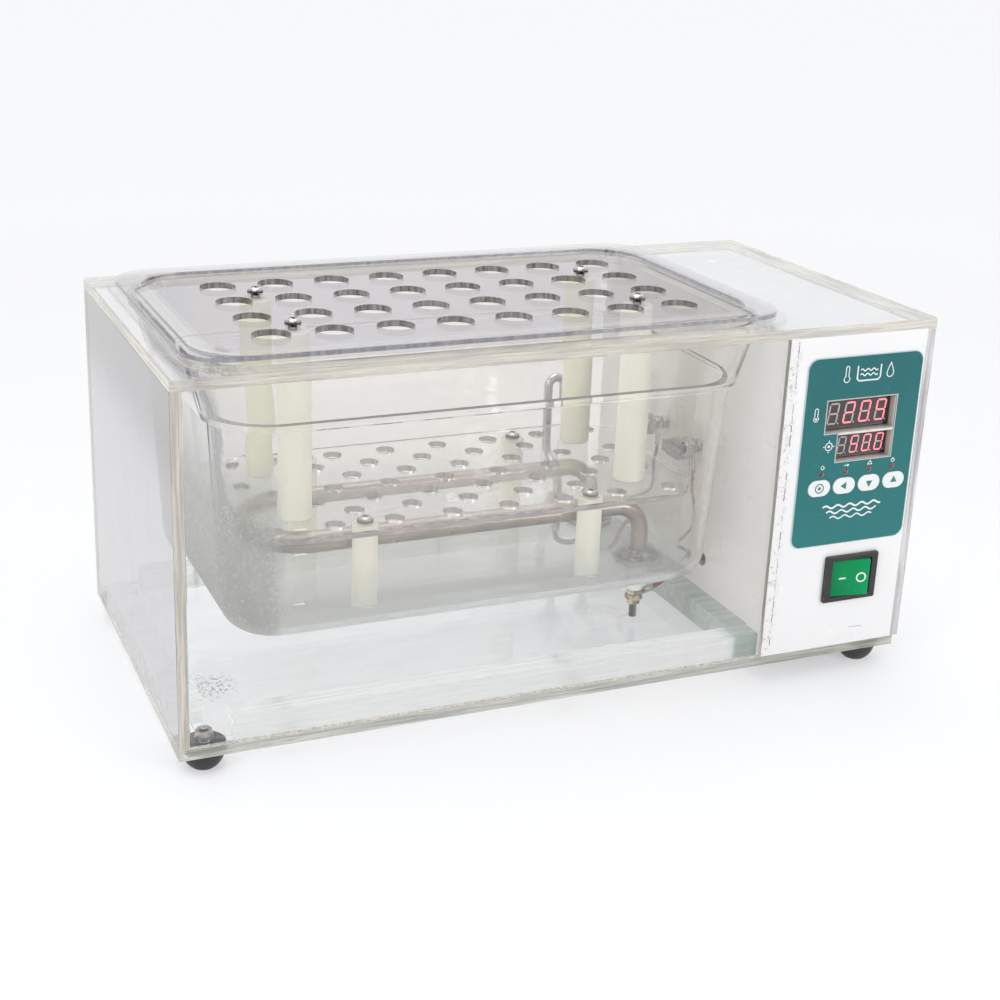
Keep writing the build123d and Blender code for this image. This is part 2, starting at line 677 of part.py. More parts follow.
# ---- temperature probe and cut-out -----------------------------------------
@part
def temperature_probe():
    """Sheath rising through the tank floor, set back half way and bent over at the top."""
    x, foot_y, y, r = PROBE_X, PROBE_FOOT_Y, PROBE_Y, PROBE_BEND_R
    z_low, z_mid, z_high, z_bend = 50.0, 62.0, 75.0, PROBE_BEND_Z
    path = Wire([
        Line((x, foot_y, PROBE_Z0), (x, foot_y, z_low)),
        Spline((x, foot_y, z_low), (x, (foot_y + y) / 2, z_mid), (x, y, z_high),
               tangents=[(0, 0, 1), (0, 0, 1)]),
        Line((x, y, z_high), (x, y, z_bend)),
        ThreePointArc((x, y, z_bend), (x + r, y, z_bend + r), (x + 2 * r, y, z_bend)),
        Line((x + 2 * r, y, z_bend), (x + 2 * r, y, z_bend - 8.0))])
    return round_bar(path, PROBE_D, transition=Transition.ROUND)


@part
def probe_gland():
    washer_z = TANK_Z0 - 1.6
    bush = cyl(PROBE_X, PROBE_FOOT_Y, TANK_Z0 - 7.0, FLOOR_Z + 4.2, GLAND_D)
    bush -= cyl(PROBE_X, PROBE_FOOT_Y, 0, 100, PROBE_D + 0.1)
    foot = Pos(PROBE_X, PROBE_FOOT_Y, 0)
    return [foot * Pos(0, 0, FLOOR_Z) * hex_nut(GLAND_AF, 4.0, GLAND_D + 0.1),
            foot * Pos(0, 0, washer_z) * washer(14.0, 8.3, 1.6),
            foot * Pos(0, 0, washer_z - 3.6) * hex_nut(GLAND_AF, 3.6, GLAND_D + 0.1),
            bush]


@part
def probe_cable():
    x, y, z = PROBE_X, PROBE_FOOT_Y, PROBE_Z0
    hole_y, hole_z = WIRE_HOLES[2]
    points = [(x, y, z - 0.3), (x + 1, y - 1, z - 6), (x + 12, y - 1, z - 9),
              (x + 30, 153, 24), (DIV_X0 - 3, hole_y, hole_z), (DIV_X1 + 8, hole_y, hole_z)]
    return cable(points, 3.0, (0, 0, -1), (1, 0, 0))


@part
def thermal_cutout():
    """Thermal cut-out and its plate on the outside of the tank's right wall."""
    y, z = 88.0, 91.0
    body = Pos(WALL_X + 6.0, y, z) * Box(7.0, 13.0, 9.0)
    body = fillet(body.edges().filter_by(Axis.X), 1.2)
    return body + Pos(WALL_X + 1.8, y, z) * Box(1.2, 18.0, 6.0)


# ---- label, displays, lamps and keys ---------------------------------------
@part
def control_label():
    outline = RectangleRounded(LABEL_X1 - LABEL_X0, LABEL_Z1 - LABEL_Z0, LABEL_R)
    centre = Pos((LABEL_X0 + LABEL_X1) / 2, 0, (LABEL_Z0 + LABEL_Z1) / 2)
    return cut_front_openings(centre * Rot(90, 0, 0) * extrude(outline, LABEL_T),
                              key_gap=0.3, led_hole_d=2.7)


def display(window):
    """Display block filling a window, with two rows of pins at the back."""
    gap, front, back = 0.3, 3.8, 12.0
    x0, x1, z0, z1 = window
    x0, x1, z0, z1 = x0 + gap, x1 - gap, z0 + gap, z1 - gap
    body = box(x0, x1, front, back, z0, z1)
    body = chamfer(body.faces().sort_by(Axis.Y)[0].edges(), 0.3)
    for i in range(10):
        x = x0 + 3 + i * (x1 - x0 - 6) / 9
        for z in (z0 + 1.6, z1 - 1.6):
            body += cyl_y(x, back - 0.2, back + 1.7, z, 0.6)
    return body


@part
def pv_display():
    return display(PV_WINDOW)


@part
def sv_display():
    return display(SV_WINDOW)


@part
def indicator_leds():
    lamps = []
    for x in LED_X:
        lamp = cyl_y(x, 1.2, 8.0, LED_Z, 3.0) + (Pos(x, 1.2, LED_Z) * Sphere(1.5))
        lamp += cyl_y(x, 8.0, 9.0, LED_Z, 3.8)
        lamp += cyl_y(x - 0.9, 9.0, 13.9, LED_Z, 0.5) + cyl_y(x + 0.9, 9.0, 13.9, LED_Z, 0.5)
        lamps.append(lamp)
    return lamps


def button(x):
    """Key cap with a flange behind the panel and a plunger."""
    cap = slot_y(x, BTN_FRONT, BTN_BACK, BTN_Z, BTN_W, BTN_H)
    cap = fillet(cap.faces().sort_by(Axis.Y)[0].edges(), 0.35)
    cap += slot_y(x, 5.2, 6.2, BTN_Z, BTN_W + 1.3, BTN_H + 2.4)
    cap += cyl_y(x, 6.2, 8.6, BTN_Z, 3.2)
    return cap


for button_name, button_x in zip(("set", "left", "down", "up"), BTN_X):
    PARTS["button_" + button_name] = lambda x=button_x: button(x)


@part
def controller_board():
    """Circuit board with its components behind it and the key switches in front."""
    board = box(311.0, 379.0, BOARD_Y0, BOARD_Y1, 62.0, 160.0)
    for x, z in BOARD_XZ:
        board -= cyl_y(x, 10, 20, z, 3.2)
    # block components: x0, x1, back y, z0, z1
    for x0, x1, y1, z0, z1 in ((322, 342, 25.6, 70, 86), (350, 362, 18.2, 100, 118),
                               (318, 336, 26.6, 130, 152), (342, 376, 25, 140, 148)):
        board += box(x0, x1, BOARD_Y1, y1, z0, z1)
    # round components: z, diameter
    for z, d in ((76, 10), (90, 8)):
        board += cyl_y(368, BOARD_Y1, 30, z, d)
    switches = [box(x - 3, x + 3, 9.9, 13.9, BTN_Z - 3, BTN_Z + 3)
                + cyl_y(x, 9.2, 9.95, BTN_Z, 3.4) for x in BTN_X]
    return [board] + switches


@part
def board_standoffs():
    pieces = []
    for x, z in BOARD_XZ:
        pieces.append(Pos(x, SHEET, z) * Rot(-90, 0, 0) * hex_prism(5.5, BOARD_Y0 - SHEET))
        pieces.append(Pos(x, BOARD_Y1, z) * Rot(-90, 0, 0) * pan_screw(2.9, 5.4, 1.8, 1.4))
    return pieces


# ---- mains rocker switch ---------------------------------------------------
@part
def switch_housing():
    back_y = 21.0
    body = box(SW_X - SW_W / 2, SW_X + SW_W / 2, -2.0, 0, SW_Z - SW_H / 2, SW_Z + SW_H / 2)
    body = fillet(body.edges().filter_by(Axis.Y), 1.0)
    body = fillet(body.faces().sort_by(Axis.Y)[0].edges(), 0.6)
    body += box(SW_X - 14.0, SW_X + 14.0, -0.5, back_y, SW_Z - 10.9, SW_Z + 10.9)
    pocket_x, pocket_z = RK_W / 2 + 1.1, RK_H / 2 + 0.25
    body -= box(SW_X - pocket_x, SW_X + pocket_x, -3, 14.0, SW_Z - pocket_z, SW_Z + pocket_z)
    # spring clips that hold the switch in the panel
    for side in (-1, 1):
        body += Pos(SW_X + side * 14.5, 8.2, SW_Z) * Box(1.4, 6.0, 9.0)
    # pivot pins
    for side in (-1, 1):
        body += Pos(SW_X, PIVOT_Y, SW_Z + side * (RK_H / 2 - 0.55)) * Cylinder(1.5, 1.7)
    blades = []
    for dx, dz in ((-8, -5), (-8, 5), (0, -5), (8, -5), (8, 5)):
        x, z = SW_X + dx, SW_Z + dz
        blade = box(x - 0.4, x + 0.4, back_y + 0.05, 31.0, z - 3.1, z + 3.1)
        blades.append(blade - cyl_x(x - 2, x + 2, 28.0, z, 1.8))
    return [body] + blades


@part
def switch_rocker():
    """Vee-faced hollow rocker, at rest with its left half pressed in."""
    half_w = RK_W / 2
    face_y = -4.2                   # level the front face is measured from
    outline = [(-half_w + 0.1, face_y + 1.5), (0, face_y + 2.1), (half_w - 0.1, face_y + 1.5),
               (half_w - 0.5, 6.0), (-half_w + 0.5, 6.0)]
    rocker = extrude(make_face(Polyline(*outline, close=True)), RK_H / 2, both=True)
    rocker = fillet([e for e in rocker.edges() if e.bounding_box().max.Y < face_y + 2.2
                     and abs(e.center().X) > half_w * 0.9], 0.45)
    inside = half_w - 2.2
    cavity = [(-inside, face_y + 4.2), (inside, face_y + 4.2), (inside, 7.0), (-inside, 7.0)]
    rocker -= extrude(make_face(Polyline(*cavity, close=True)), RK_H / 2 - 2.4, both=True)
    rocker -= Pos(0, PIVOT_Y, 0) * Cylinder(1.55, RK_H + 2)
    tilted = Pos(0, PIVOT_Y, 0) * Rot(0, 0, -TILT) * Pos(0, -PIVOT_Y, 0) * rocker
    return Pos(SW_X, 0, SW_Z) * tilted


# ---- mains side of the control space ---------------------------------------
@part
def power_inlet():
    body = box(INLET_X - 25.0, INLET_X + 25.0, CASE_D, CASE_D + 2.6,
               INLET_Z - 11.2, INLET_Z + 11.2)
    body = chamfer(body.edges().filter_by(Axis.Y), 4.0)
    body += box(INLET_X - 13.8, INLET_X + 13.8, CASE_D - 16.0, CASE_D + 0.5,
                INLET_Z - 10.2, INLET_Z + 10.2)
    # socket with two cut corners
    socket = Polygon((-12.0, -8.2), (12.0, -8.2), (12.0, 4.2), (8.0, 8.2), (-8.0, 8.2),
                     (-12.0, 4.2), align=None)
    body -= Pos(INLET_X, CASE_D + 5, INLET_Z) * Rot(90, 0, 0) * extrude(socket, 20.0)
    for x in INLET_SCREW_X:
        body -= cyl_y(x, CASE_D - 2, CASE_D + 4, INLET_Z, M3_CLEAR)
        body -= Pos(x, CASE_D + 1.7, INLET_Z) * Rot(-90, 0, 0) * Cone(1.6, 3.3, 1.9)
    pins = []
    for dx, dz in ((-7.0, -1.6), (7.0, -1.6), (0.0, 2.4)):
        x, z = INLET_X + dx, INLET_Z + dz
        pins.append(box(x - 1.0, x + 1.0, CASE_D - 24, CASE_D - 1.5, z - 2.0, z + 2.0))
    for pin in pins:
        body -= pin
    return [body] + pins


@part
def inlet_screws():
    screw = Rot(-90, 0, 0) * flat_screw(3.0, 6.0, 13.0)
    return [Pos(x, CASE_D + 2.62, INLET_Z) * screw for x in INLET_SCREW_X]


@part
def transformer():
    core = box(322, 366, 96, 126, SHEET + 1, SHEET + 37)
    for x in (330, 350):
        core -= box(x, x + 8, 90, 130, SHEET + 8, SHEET + 30)
    coil = box(331, 357, 92, 130, SHEET + 8.6, SHEET + 29.4)
    coil -= box(337.9, 350.1, 90, 132, SHEET + 7, SHEET + 31)
    return [core, coil]


@part
def solid_state_relay():
    body = box(325, 368, 30, 87, SHEET + 6, SHEET + 26)
    body = chamfer(body.edges().filter_by(Axis.Z), 2.0)
    for y in (36, 81):
        for x in (333, 360):
            body += cyl(x, y, SHEET + 26, SHEET + 28.5, 6.0)
    return body


@part
def relay_heat_sink():
    sink = box(323, 370, 28, 89, SHEET, SHEET + 5.95)
    for i in range(7):
        groove_x = 326 + i * 6.4
        sink -= box(groove_x, groove_x + 3.6, 20, 95, SHEET - 1, SHEET + 3.6)
    return sink


@part
def terminal_block():
    block = box(326, 364, 138, 150, SHEET, SHEET + 14)
    for i in range(6):
        block -= cyl(329.2 + i * 5.9, 144, SHEET + 8, SHEET + 20, 4.0)
    return block


# ---- write -----------------------------------------------------------------
def solids_of(shapes):
    """Flatten a shape, or nested lists of shapes, into a list of solids."""
    if isinstance(shapes, (list, tuple)):
        return [solid for shape in shapes for solid in solids_of(shape)]
    return list(shapes.solids())


os.makedirs("parts", exist_ok=True)
for name, build in PARTS.items():
    moved = [OFFSET * solid for solid in solids_of(build())]
    shape = moved[0] if len(moved) == 1 else Compound(children=moved)
    export_step(shape, "parts/" + name + ".step")
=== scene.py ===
"""A clear-walled tank unit with a white control box at its right end.

It covers the finishes of the CAD pieces, the thin printed marks, and the studio.
Box frame: millimetres from the front left lower corner of the shell, +x right, +y back, +z up.
Scene frame: metres, x and y centred on the box, z = 0 at the floor below the feet.
"""

import math
import random

import bpy
import bmesh
from mathutils import Matrix, Vector


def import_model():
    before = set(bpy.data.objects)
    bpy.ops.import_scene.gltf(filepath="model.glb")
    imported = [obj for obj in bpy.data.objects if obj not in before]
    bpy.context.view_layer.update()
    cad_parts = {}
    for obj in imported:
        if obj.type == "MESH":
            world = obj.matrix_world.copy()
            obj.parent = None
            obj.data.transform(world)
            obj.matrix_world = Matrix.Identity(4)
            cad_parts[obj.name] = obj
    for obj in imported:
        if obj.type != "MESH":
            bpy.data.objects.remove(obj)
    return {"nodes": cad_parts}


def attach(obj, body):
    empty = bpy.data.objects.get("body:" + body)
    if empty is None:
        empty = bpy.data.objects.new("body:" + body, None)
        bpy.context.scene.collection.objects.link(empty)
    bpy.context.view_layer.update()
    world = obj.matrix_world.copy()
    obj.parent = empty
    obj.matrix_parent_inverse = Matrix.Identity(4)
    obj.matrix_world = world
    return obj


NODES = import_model()["nodes"]


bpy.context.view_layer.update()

# Box frame, mm
MID_X = 193.5
MID_Y = 96.7935
FOOT_HEIGHT = 10.0
MM = 1000.0  # millimetres in a metre


def scene_x(x):
    return (x - MID_X) / MM


def scene_y(y):
    return (y - MID_Y) / MM


def place(x, y, z):
    """Box-frame millimetres to scene metres."""
    return Vector((scene_x(x), scene_y(y), (z + FOOT_HEIGHT) / MM))


# =============================================================================
# shader trees
# =============================================================================
PRINCIPLED_INPUTS = {
    "ior": "IOR", "transmission": "Transmission Weight", "specular": "Specular IOR Level",
    "coat": "Coat Weight", "coat_rough": "Coat Roughness", "anisotropic": "Anisotropic",
    "subsurface": "Subsurface Weight", "subsurface_scale": "Subsurface Scale",
    "subsurface_radius": "Subsurface Radius",
    "emission": "Emission Color", "emission_strength": "Emission Strength",
}


class Shader:
    """The node tree of a material or world. Every input takes a socket or a plain value."""

    def __init__(self, owner, output="ShaderNodeOutputMaterial"):
        self.owner = owner
        owner.use_nodes = True
        self.tree = owner.node_tree
        self.tree.nodes.clear()
        self.output = self.node(output)
        self.coords = self.node("ShaderNodeTexCoord")
        self.splits = {}

    def put(self, node, key, value):
        socket = node.inputs[key]
        if isinstance(value, bpy.types.NodeSocket):
            self.tree.links.new(value, socket)
        elif isinstance(value, (tuple, list)) and len(value) == 3 and socket.type == "RGBA":
            socket.default_value = (*value, 1.0)
        else:
            socket.default_value = value

    def node(self, kind, inputs=None, **attributes):
        node = self.tree.nodes.new(kind)
        for key, value in attributes.items():
            setattr(node, key, value)
        for key, value in (inputs or {}).items():
            self.put(node, key, value)
        return node

    def done(self, surface):
        self.put(self.output, "Surface", surface)
        return self.owner

    # ---- coordinates; positions are in scene metres ----
    def split(self, output, axis):
        if output not in self.splits:
            source = {"Vector": self.coords.outputs[output]}
            self.splits[output] = self.node("ShaderNodeSeparateXYZ", source).outputs
        return self.splits[output]["XYZ".index(axis)]

    def at(self, axis):
        return self.split("Object", axis)

    def facing(self, axis):
        return self.split("Normal", axis)

    def square_to(self, axis):
        """1 where the surface faces either way along the axis, 0 where it runs along it."""
        return self.math("ABSOLUTE", self.facing(axis))

    def front_only(self):
        geometry = self.node("ShaderNodeNewGeometry")
        return self.sub(1.0, geometry.outputs["Backfacing"])

    # ---- arithmetic ----
    def math(self, operation, a, b=0.0, clamp=False):
        node = self.node("ShaderNodeMath", {0: a, 1: b}, operation=operation, use_clamp=clamp)
        return node.outputs[0]

    def add(self, a, b):
        return self.math("ADD", a, b)

    def sub(self, a, b):
        return self.math("SUBTRACT", a, b)

    def mul(self, a, b):
        return self.math("MULTIPLY", a, b)

    def add_scaled(self, base, signal, amount, clamp=False):
        """base + signal * amount"""
        return self.math("ADD", base, self.mul(signal, amount), clamp=clamp)

    def distance(self, x, y):
        return self.math("SQRT", self.add(self.math("POWER", x, 2.0), self.math("POWER", y, 2.0)))

    def rise(self, value, start, end, low=0.0, high=1.0, smooth=False):
        """Runs from low to high while the value goes from start to end."""
        ends = {"Value": value, "From Min": start, "From Max": end, "To Min": low, "To Max": high}
        kind = "SMOOTHSTEP" if smooth else "LINEAR"
        node = self.node("ShaderNodeMapRange", ends, clamp=True, interpolation_type=kind)
        return node.outputs["Result"]

    def fall(self, value, start, end, smooth=False):
        return self.rise(value, start, end, low=1.0, high=0.0, smooth=smooth)

    def band(self, value, rising, falling):
        return self.mul(self.rise(value, *rising), self.fall(value, *falling))

    # ---- textures ----
    def noise(self, scale, detail=3.0, rough=0.5, stretch=None, offset=(0, 0, 0), distortion=0.0):
        """Noise; a small stretch factor draws it out along that axis."""
        vector = self.coords.outputs["Object"]
        if stretch:
            mapping = {"Vector": vector, "Scale": stretch, "Location": offset}
            vector = self.node("ShaderNodeMapping", mapping).outputs["Vector"]
        inputs = {"Vector": vector, "Scale": scale, "Detail": detail, "Roughness": rough,
                  "Distortion": distortion}
        return self.node("ShaderNodeTexNoise", inputs).outputs["Fac"]

    def patches(self, scale, start, end, **options):
        """Noise cut to a mask that rises between two levels."""
        return self.rise(self.noise(scale, **options), start, end)

    def bump(self, height, strength, distance):
        inputs = {"Height": height, "Strength": strength, "Distance": distance}
        return self.node("ShaderNodeBump", inputs).outputs["Normal"]

    # ---- colours and surfaces ----
    def blend(self, base, over, mask, amount=None):
        """Colour `over` laid on `base` where the mask, scaled by the amount, says so."""
        if amount is not None:
            mask = self.mul(mask, amount)
        return self.node("ShaderNodeMix", {0: mask, 6: base, 7: over}, data_type="RGBA").outputs[2]

    def mix(self, factor, a, b):
        return self.node("ShaderNodeMixShader", {0: factor, 1: a, 2: b}).outputs[0]

    def diffuse(self, color):
        return self.node("ShaderNodeBsdfDiffuse", {"Color": color}).outputs[0]

    def translucent(self, color):
        return self.node("ShaderNodeBsdfTranslucent", {"Color": color}).outputs[0]

    def transparent(self, color=(1, 1, 1)):
        return self.node("ShaderNodeBsdfTransparent", {"Color": color}).outputs[0]

    def principled(self, color, rough, metallic=0.0, normal=None, **extras):
        inputs = {"Base Color": color, "Roughness": rough, "Metallic": metallic}
        if normal is not None:
            inputs["Normal"] = normal
        inputs.update({PRINCIPLED_INPUTS[key]: value for key, value in extras.items()})
        return self.node("ShaderNodeBsdfPrincipled", inputs).outputs[0]

    def thin(self, tint, normal, rough=0.03):
        """Straight-through clear sheet with a surface sheen, for faces that lie on one another."""
        fresnel = self.node("ShaderNodeFresnel", {"IOR": 1.45, "Normal": normal}).outputs[0]
        sheen = self.principled((0.95, 0.95, 0.95), rough, metallic=1.0, normal=normal)
        return self.mix(self.mul(fresnel, self.front_only()), self.transparent(tint), sheen)

    def see_through(self, surface, tint):
        """Shadow and diffuse rays go straight through, so the inside of the clear box is lit."""
        rays = self.node("ShaderNodeLightPath").outputs
        factor = self.math("MAXIMUM", rays["Is Shadow Ray"], rays["Is Diffuse Ray"])
        return self.mix(factor, surface, self.transparent(tint))


def new_material(name):
    return Shader(bpy.data.materials.new(name))


def paint(material, *node_names):
    for name in node_names:
        slots = NODES[name].data.materials
        slots.clear()
        slots.append(material)


# =============================================================================
# clear sheets and strips
# =============================================================================
SHEET_IOR = 1.49


def sheet_specks(mat, face, x, y, radius):
    """Dark specks scattered round a point; x, y and radius in mm."""
    reach = mat.distance(mat.sub(mat.at("X"), scene_x(x)), mat.sub(mat.at("Y"), scene_y(y)))
    near = mat.fall(reach, start=radius / MM * 0.3, end=radius / MM)
    spots = mat.patches(scale=520.0, detail=4, rough=0.75, start=0.565, end=0.600)
    speck = mat.diffuse((0.06, 0.055, 0.05))
    return mat.mix(mat.mul(mat.mul(near, spots), 0.85), face, speck)


def sheet_face(mat, tint, haze, dust, film_color, thin, top_shade_tint):
    """The clear face of a sheet under a film of dust, grit and rubbing."""
    grit = mat.patches(scale=1500.0, rough=0.6, start=0.70, end=0.78)
    rub_y = mat.patches(scale=420.0, rough=0.55, stretch=(1.0, 0.08, 0.35),
                        offset=(0.3, 0.1, 0.2), start=0.62, end=0.74)
    rub_x = mat.patches(scale=420.0, rough=0.55, stretch=(0.08, 1.0, 1.0),
                        offset=(1.3, 4.1, 0.2), start=0.64, end=0.76)
    swirl = mat.patches(scale=70.0, detail=4, rough=0.6, stretch=(0.25, 1.0, 0.5),
                        distortion=0.6, start=0.45, end=0.75)
    normal = mat.bump(mat.noise(scale=9.0, detail=2, rough=0.4), strength=0.35, distance=0.00002)
    # top_shade_tint is painted shade: the sheet is tinted darker toward the top
    if top_shade_tint:
        tint = mat.blend(tint, top_shade_tint, mat.rise(mat.at("Z"), 0.125, 0.165, smooth=True))
    if thin:
        glass = mat.thin(tint, normal)
    else:
        rough = mat.add_scaled(0.006, mat.add(rub_y, rub_x), amount=0.03)
        glass = mat.principled(tint, rough, normal=normal, ior=SHEET_IOR, transmission=1.0)
    film = mat.mix(0.45, mat.diffuse(film_color), mat.transparent())
    marks = mat.add(grit, mat.add(rub_y, rub_x))
    cover = mat.add_scaled(mat.add_scaled(haze, swirl, dust), marks, amount=0.035, clamp=True)
    return mat.mix(cover, glass, film)


def sheet_edge(mat, axis, tint, color, solidity):
    """Sawn and polished edges, streaked along their length."""
    if axis == "Z":
        along_x = mat.noise(scale=520.0, detail=4, rough=0.6, stretch=(0.04, 1.0, 1.0))
        along_y = mat.noise(scale=520.0, detail=4, rough=0.6, stretch=(1.0, 0.04, 1.0))
        side = mat.rise(mat.square_to("X"), start=0.4, end=0.6)
        streak = mat.add(mat.mul(along_x, mat.sub(1.0, side)), mat.mul(along_y, side))
    else:
        streak = mat.noise(scale=520.0, detail=4, rough=0.6, stretch=(1.0, 1.0, 0.04))
    fleck = mat.patches(scale=900.0, detail=4, rough=0.7, start=0.64, end=0.70)
    darker = tuple(v * 0.80 for v in color)
    lighter = tuple(min(0.93, v * 1.22) for v in color)
    tone = mat.blend(darker, lighter, mat.rise(streak, start=0.38, end=0.62))
    tone = mat.blend(tone, (0.42, 0.38, 0.37), mat.rise(streak, start=0.66, end=0.72))
    tone = mat.blend(tone, (0.30, 0.26, 0.22), fleck, amount=0.45)
    rough = mat.add_scaled(0.10, streak, amount=0.20)
    normal = mat.bump(streak, strength=0.30, distance=0.0003)
    body = mat.mix(0.45, mat.principled(tone, rough, normal=normal, coat=0.4),
                   mat.translucent(tone))
    glass = mat.principled(tint, rough, normal=normal, ior=SHEET_IOR, transmission=1.0)
    cover = mat.add_scaled(solidity - 0.15, mat.rise(streak, start=0.35, end=0.65),
                           amount=0.3, clamp=True)
    return mat.mix(cover, glass, body)


def clear_sheet(name, axis, tint, edge_color, haze, dust, edge_solid,
                film_color=(0.93, 0.93, 0.94), thin=False, top_shade_tint=None, specks=None):
    """Cast clear sheet lying square to an axis."""
    mat = new_material(name)
    edge = mat.fall(mat.square_to(axis), start=0.55, end=0.85)
    face = sheet_face(mat, tint, haze, dust, film_color, thin, top_shade_tint)
    if specks:
        face = sheet_specks(mat, face, **specks)
    surface = mat.mix(edge, face, sheet_edge(mat, axis, tint, edge_color, edge_solid))
    return mat.done(mat.see_through(surface, (0.975, 0.975, 0.975)))


def strip_material():
    """Clear square strips with a white cement film; those by the divider are painted darker and
    greener, as painted shade.
    """
    mat = new_material("clear_strip")
    # painted shade: the strips by the divider get a darker, greener tint and cement
    dark = mat.rise(mat.at("X"), start=scene_x(286.0), end=scene_x(289.0))
    streak = mat.noise(scale=300.0, stretch=(0.05, 1.0, 1.0))
    tint = mat.blend((0.982, 0.988, 0.984), (0.62, 0.69, 0.66), dark)
    normal = mat.bump(mat.noise(scale=14.0, detail=2, rough=0.4), strength=0.3, distance=0.00003)
    glass = mat.principled(tint, mat.add_scaled(0.02, streak, amount=0.03), normal=normal,
                           ior=SHEET_IOR, transmission=1.0)
    cement = mat.blend((0.92, 0.93, 0.92), (0.56, 0.62, 0.59), dark)
    film = mat.mix(0.5, mat.diffuse(cement), mat.translucent(cement))
    cover = mat.add_scaled(0.36, mat.rise(streak, start=0.42, end=0.66), amount=0.18, clamp=True)
    return mat.done(mat.see_through(mat.mix(cover, glass, film), (0.97, 0.97, 0.97)))


EDGE = (0.64, 0.60, 0.52)
paint(clear_sheet("clear_base_sheet", "Z", tint=(0.965, 0.975, 0.985),
                  edge_color=(0.66, 0.65, 0.58), haze=0.055, dust=0.10, edge_solid=0.60,
                  film_color=(0.84, 0.87, 0.93), specks={"x": 29.0, "y": 62.0, "radius": 16.0}),
      "base_plate")
paint(clear_sheet("clear_front_sheet", "Y", tint=(0.990, 0.993, 0.990), edge_color=EDGE,
                  haze=0.004, dust=0.010, edge_solid=0.7), "front_panel")
# the left sheet's dark tint and darker top are painted shade for the dim view through it
paint(clear_sheet("clear_left_sheet", "X", tint=(0.62, 0.608, 0.628), edge_color=EDGE,
                  haze=0.025, dust=0.05, edge_solid=0.80, film_color=(0.80, 0.79, 0.81),
                  top_shade_tint=(0.41, 0.395, 0.40)), "left_panel")
paint(clear_sheet("clear_back_sheet", "Y", tint=(0.935, 0.920, 0.918), edge_color=EDGE,
                  haze=0.02, dust=0.04, edge_solid=0.6), "back_panel")
paint(clear_sheet("clear_right_sheet", "X", tint=(0.945, 0.942, 0.955),
                  edge_color=(0.78, 0.76, 0.77), haze=0.03, dust=0.06, edge_solid=0.6),
      "right_panel")
paint(clear_sheet("clear_top_sheet", "Z", tint=(0.98, 0.985, 0.985),
                  edge_color=(0.70, 0.66, 0.58), haze=0.015, dust=0.03, edge_solid=0.65,
                  thin=True), "top_plate")
paint(strip_material(), "corner_strips")


# =============================================================================
# tank, lid and rack
# =============================================================================
def tank_material():
    """Clear moulding, crusted at its left end and cloudy low down."""
    mat = new_material("moulded_tank")
    x, z = mat.at("X"), mat.at("Z")
    left = mat.fall(x, start=scene_x(48.0), end=scene_x(58.0), smooth=True)
    below_rim = mat.rise(z, start=0.148, end=0.098, smooth=True)
    low = mat.rise(z, start=0.092, end=0.056, smooth=True)
    grain = mat.noise(scale=560.0, rough=0.6)
    streak = mat.noise(scale=60.0, detail=4, rough=0.6, stretch=(1.0, 1.0, 0.12))
    cloud = mat.noise(scale=16.0, detail=5, rough=0.6, distortion=0.8)
    # how much film covers the clear plastic
    crust = mat.mul(mat.mul(left, below_rim), mat.add_scaled(0.24, grain, amount=0.42))
    cover = mat.add(crust, mat.mul(low, mat.add_scaled(0.04, cloud, amount=0.20)))
    toward_left = mat.rise(x, start=scene_x(150.0), end=scene_x(60.0))
    cover = mat.add_scaled(cover, mat.mul(toward_left, below_rim), amount=0.05)
    cover = mat.add(cover, 0.012)
    cover = mat.add_scaled(cover, mat.rise(streak, start=0.60, end=0.85), amount=0.02, clamp=True)

    ripple = mat.noise(scale=16.0, detail=2, rough=0.4)
    normal = mat.bump(mat.add_scaled(ripple, mat.mul(grain, crust), amount=0.12),
                      strength=0.40, distance=0.00010)
    rough = mat.add_scaled(0.008, crust, amount=0.30)
    tint = mat.blend((0.975, 0.958, 0.938), (0.915, 0.918, 0.91), left)
    tint = mat.blend(tint, (0.845, 0.855, 0.838), low)
    glass = mat.principled(tint, rough, normal=normal, ior=1.52, transmission=1.0)
    flange = mat.rise(z, start=0.1866, end=0.1872)
    glass = mat.mix(flange, glass, mat.thin((0.96, 0.955, 0.955), normal))
    scale_color = mat.blend((0.50, 0.50, 0.475), (0.42, 0.42, 0.398), left)
    scale_color = mat.blend(scale_color, (0.62, 0.625, 0.605),
                            mat.rise(grain, start=0.55, end=0.72))
    film = mat.mix(0.5, mat.diffuse(scale_color), mat.translucent(scale_color))
    return mat.done(mat.see_through(mat.mix(cover, glass, film), (0.915, 0.915, 0.91)))


HOLE_AREA_Y = 97.5   # mid line of the holes in both the lid and the rack, mm
HOLE_AREA_FADE = 0.0008


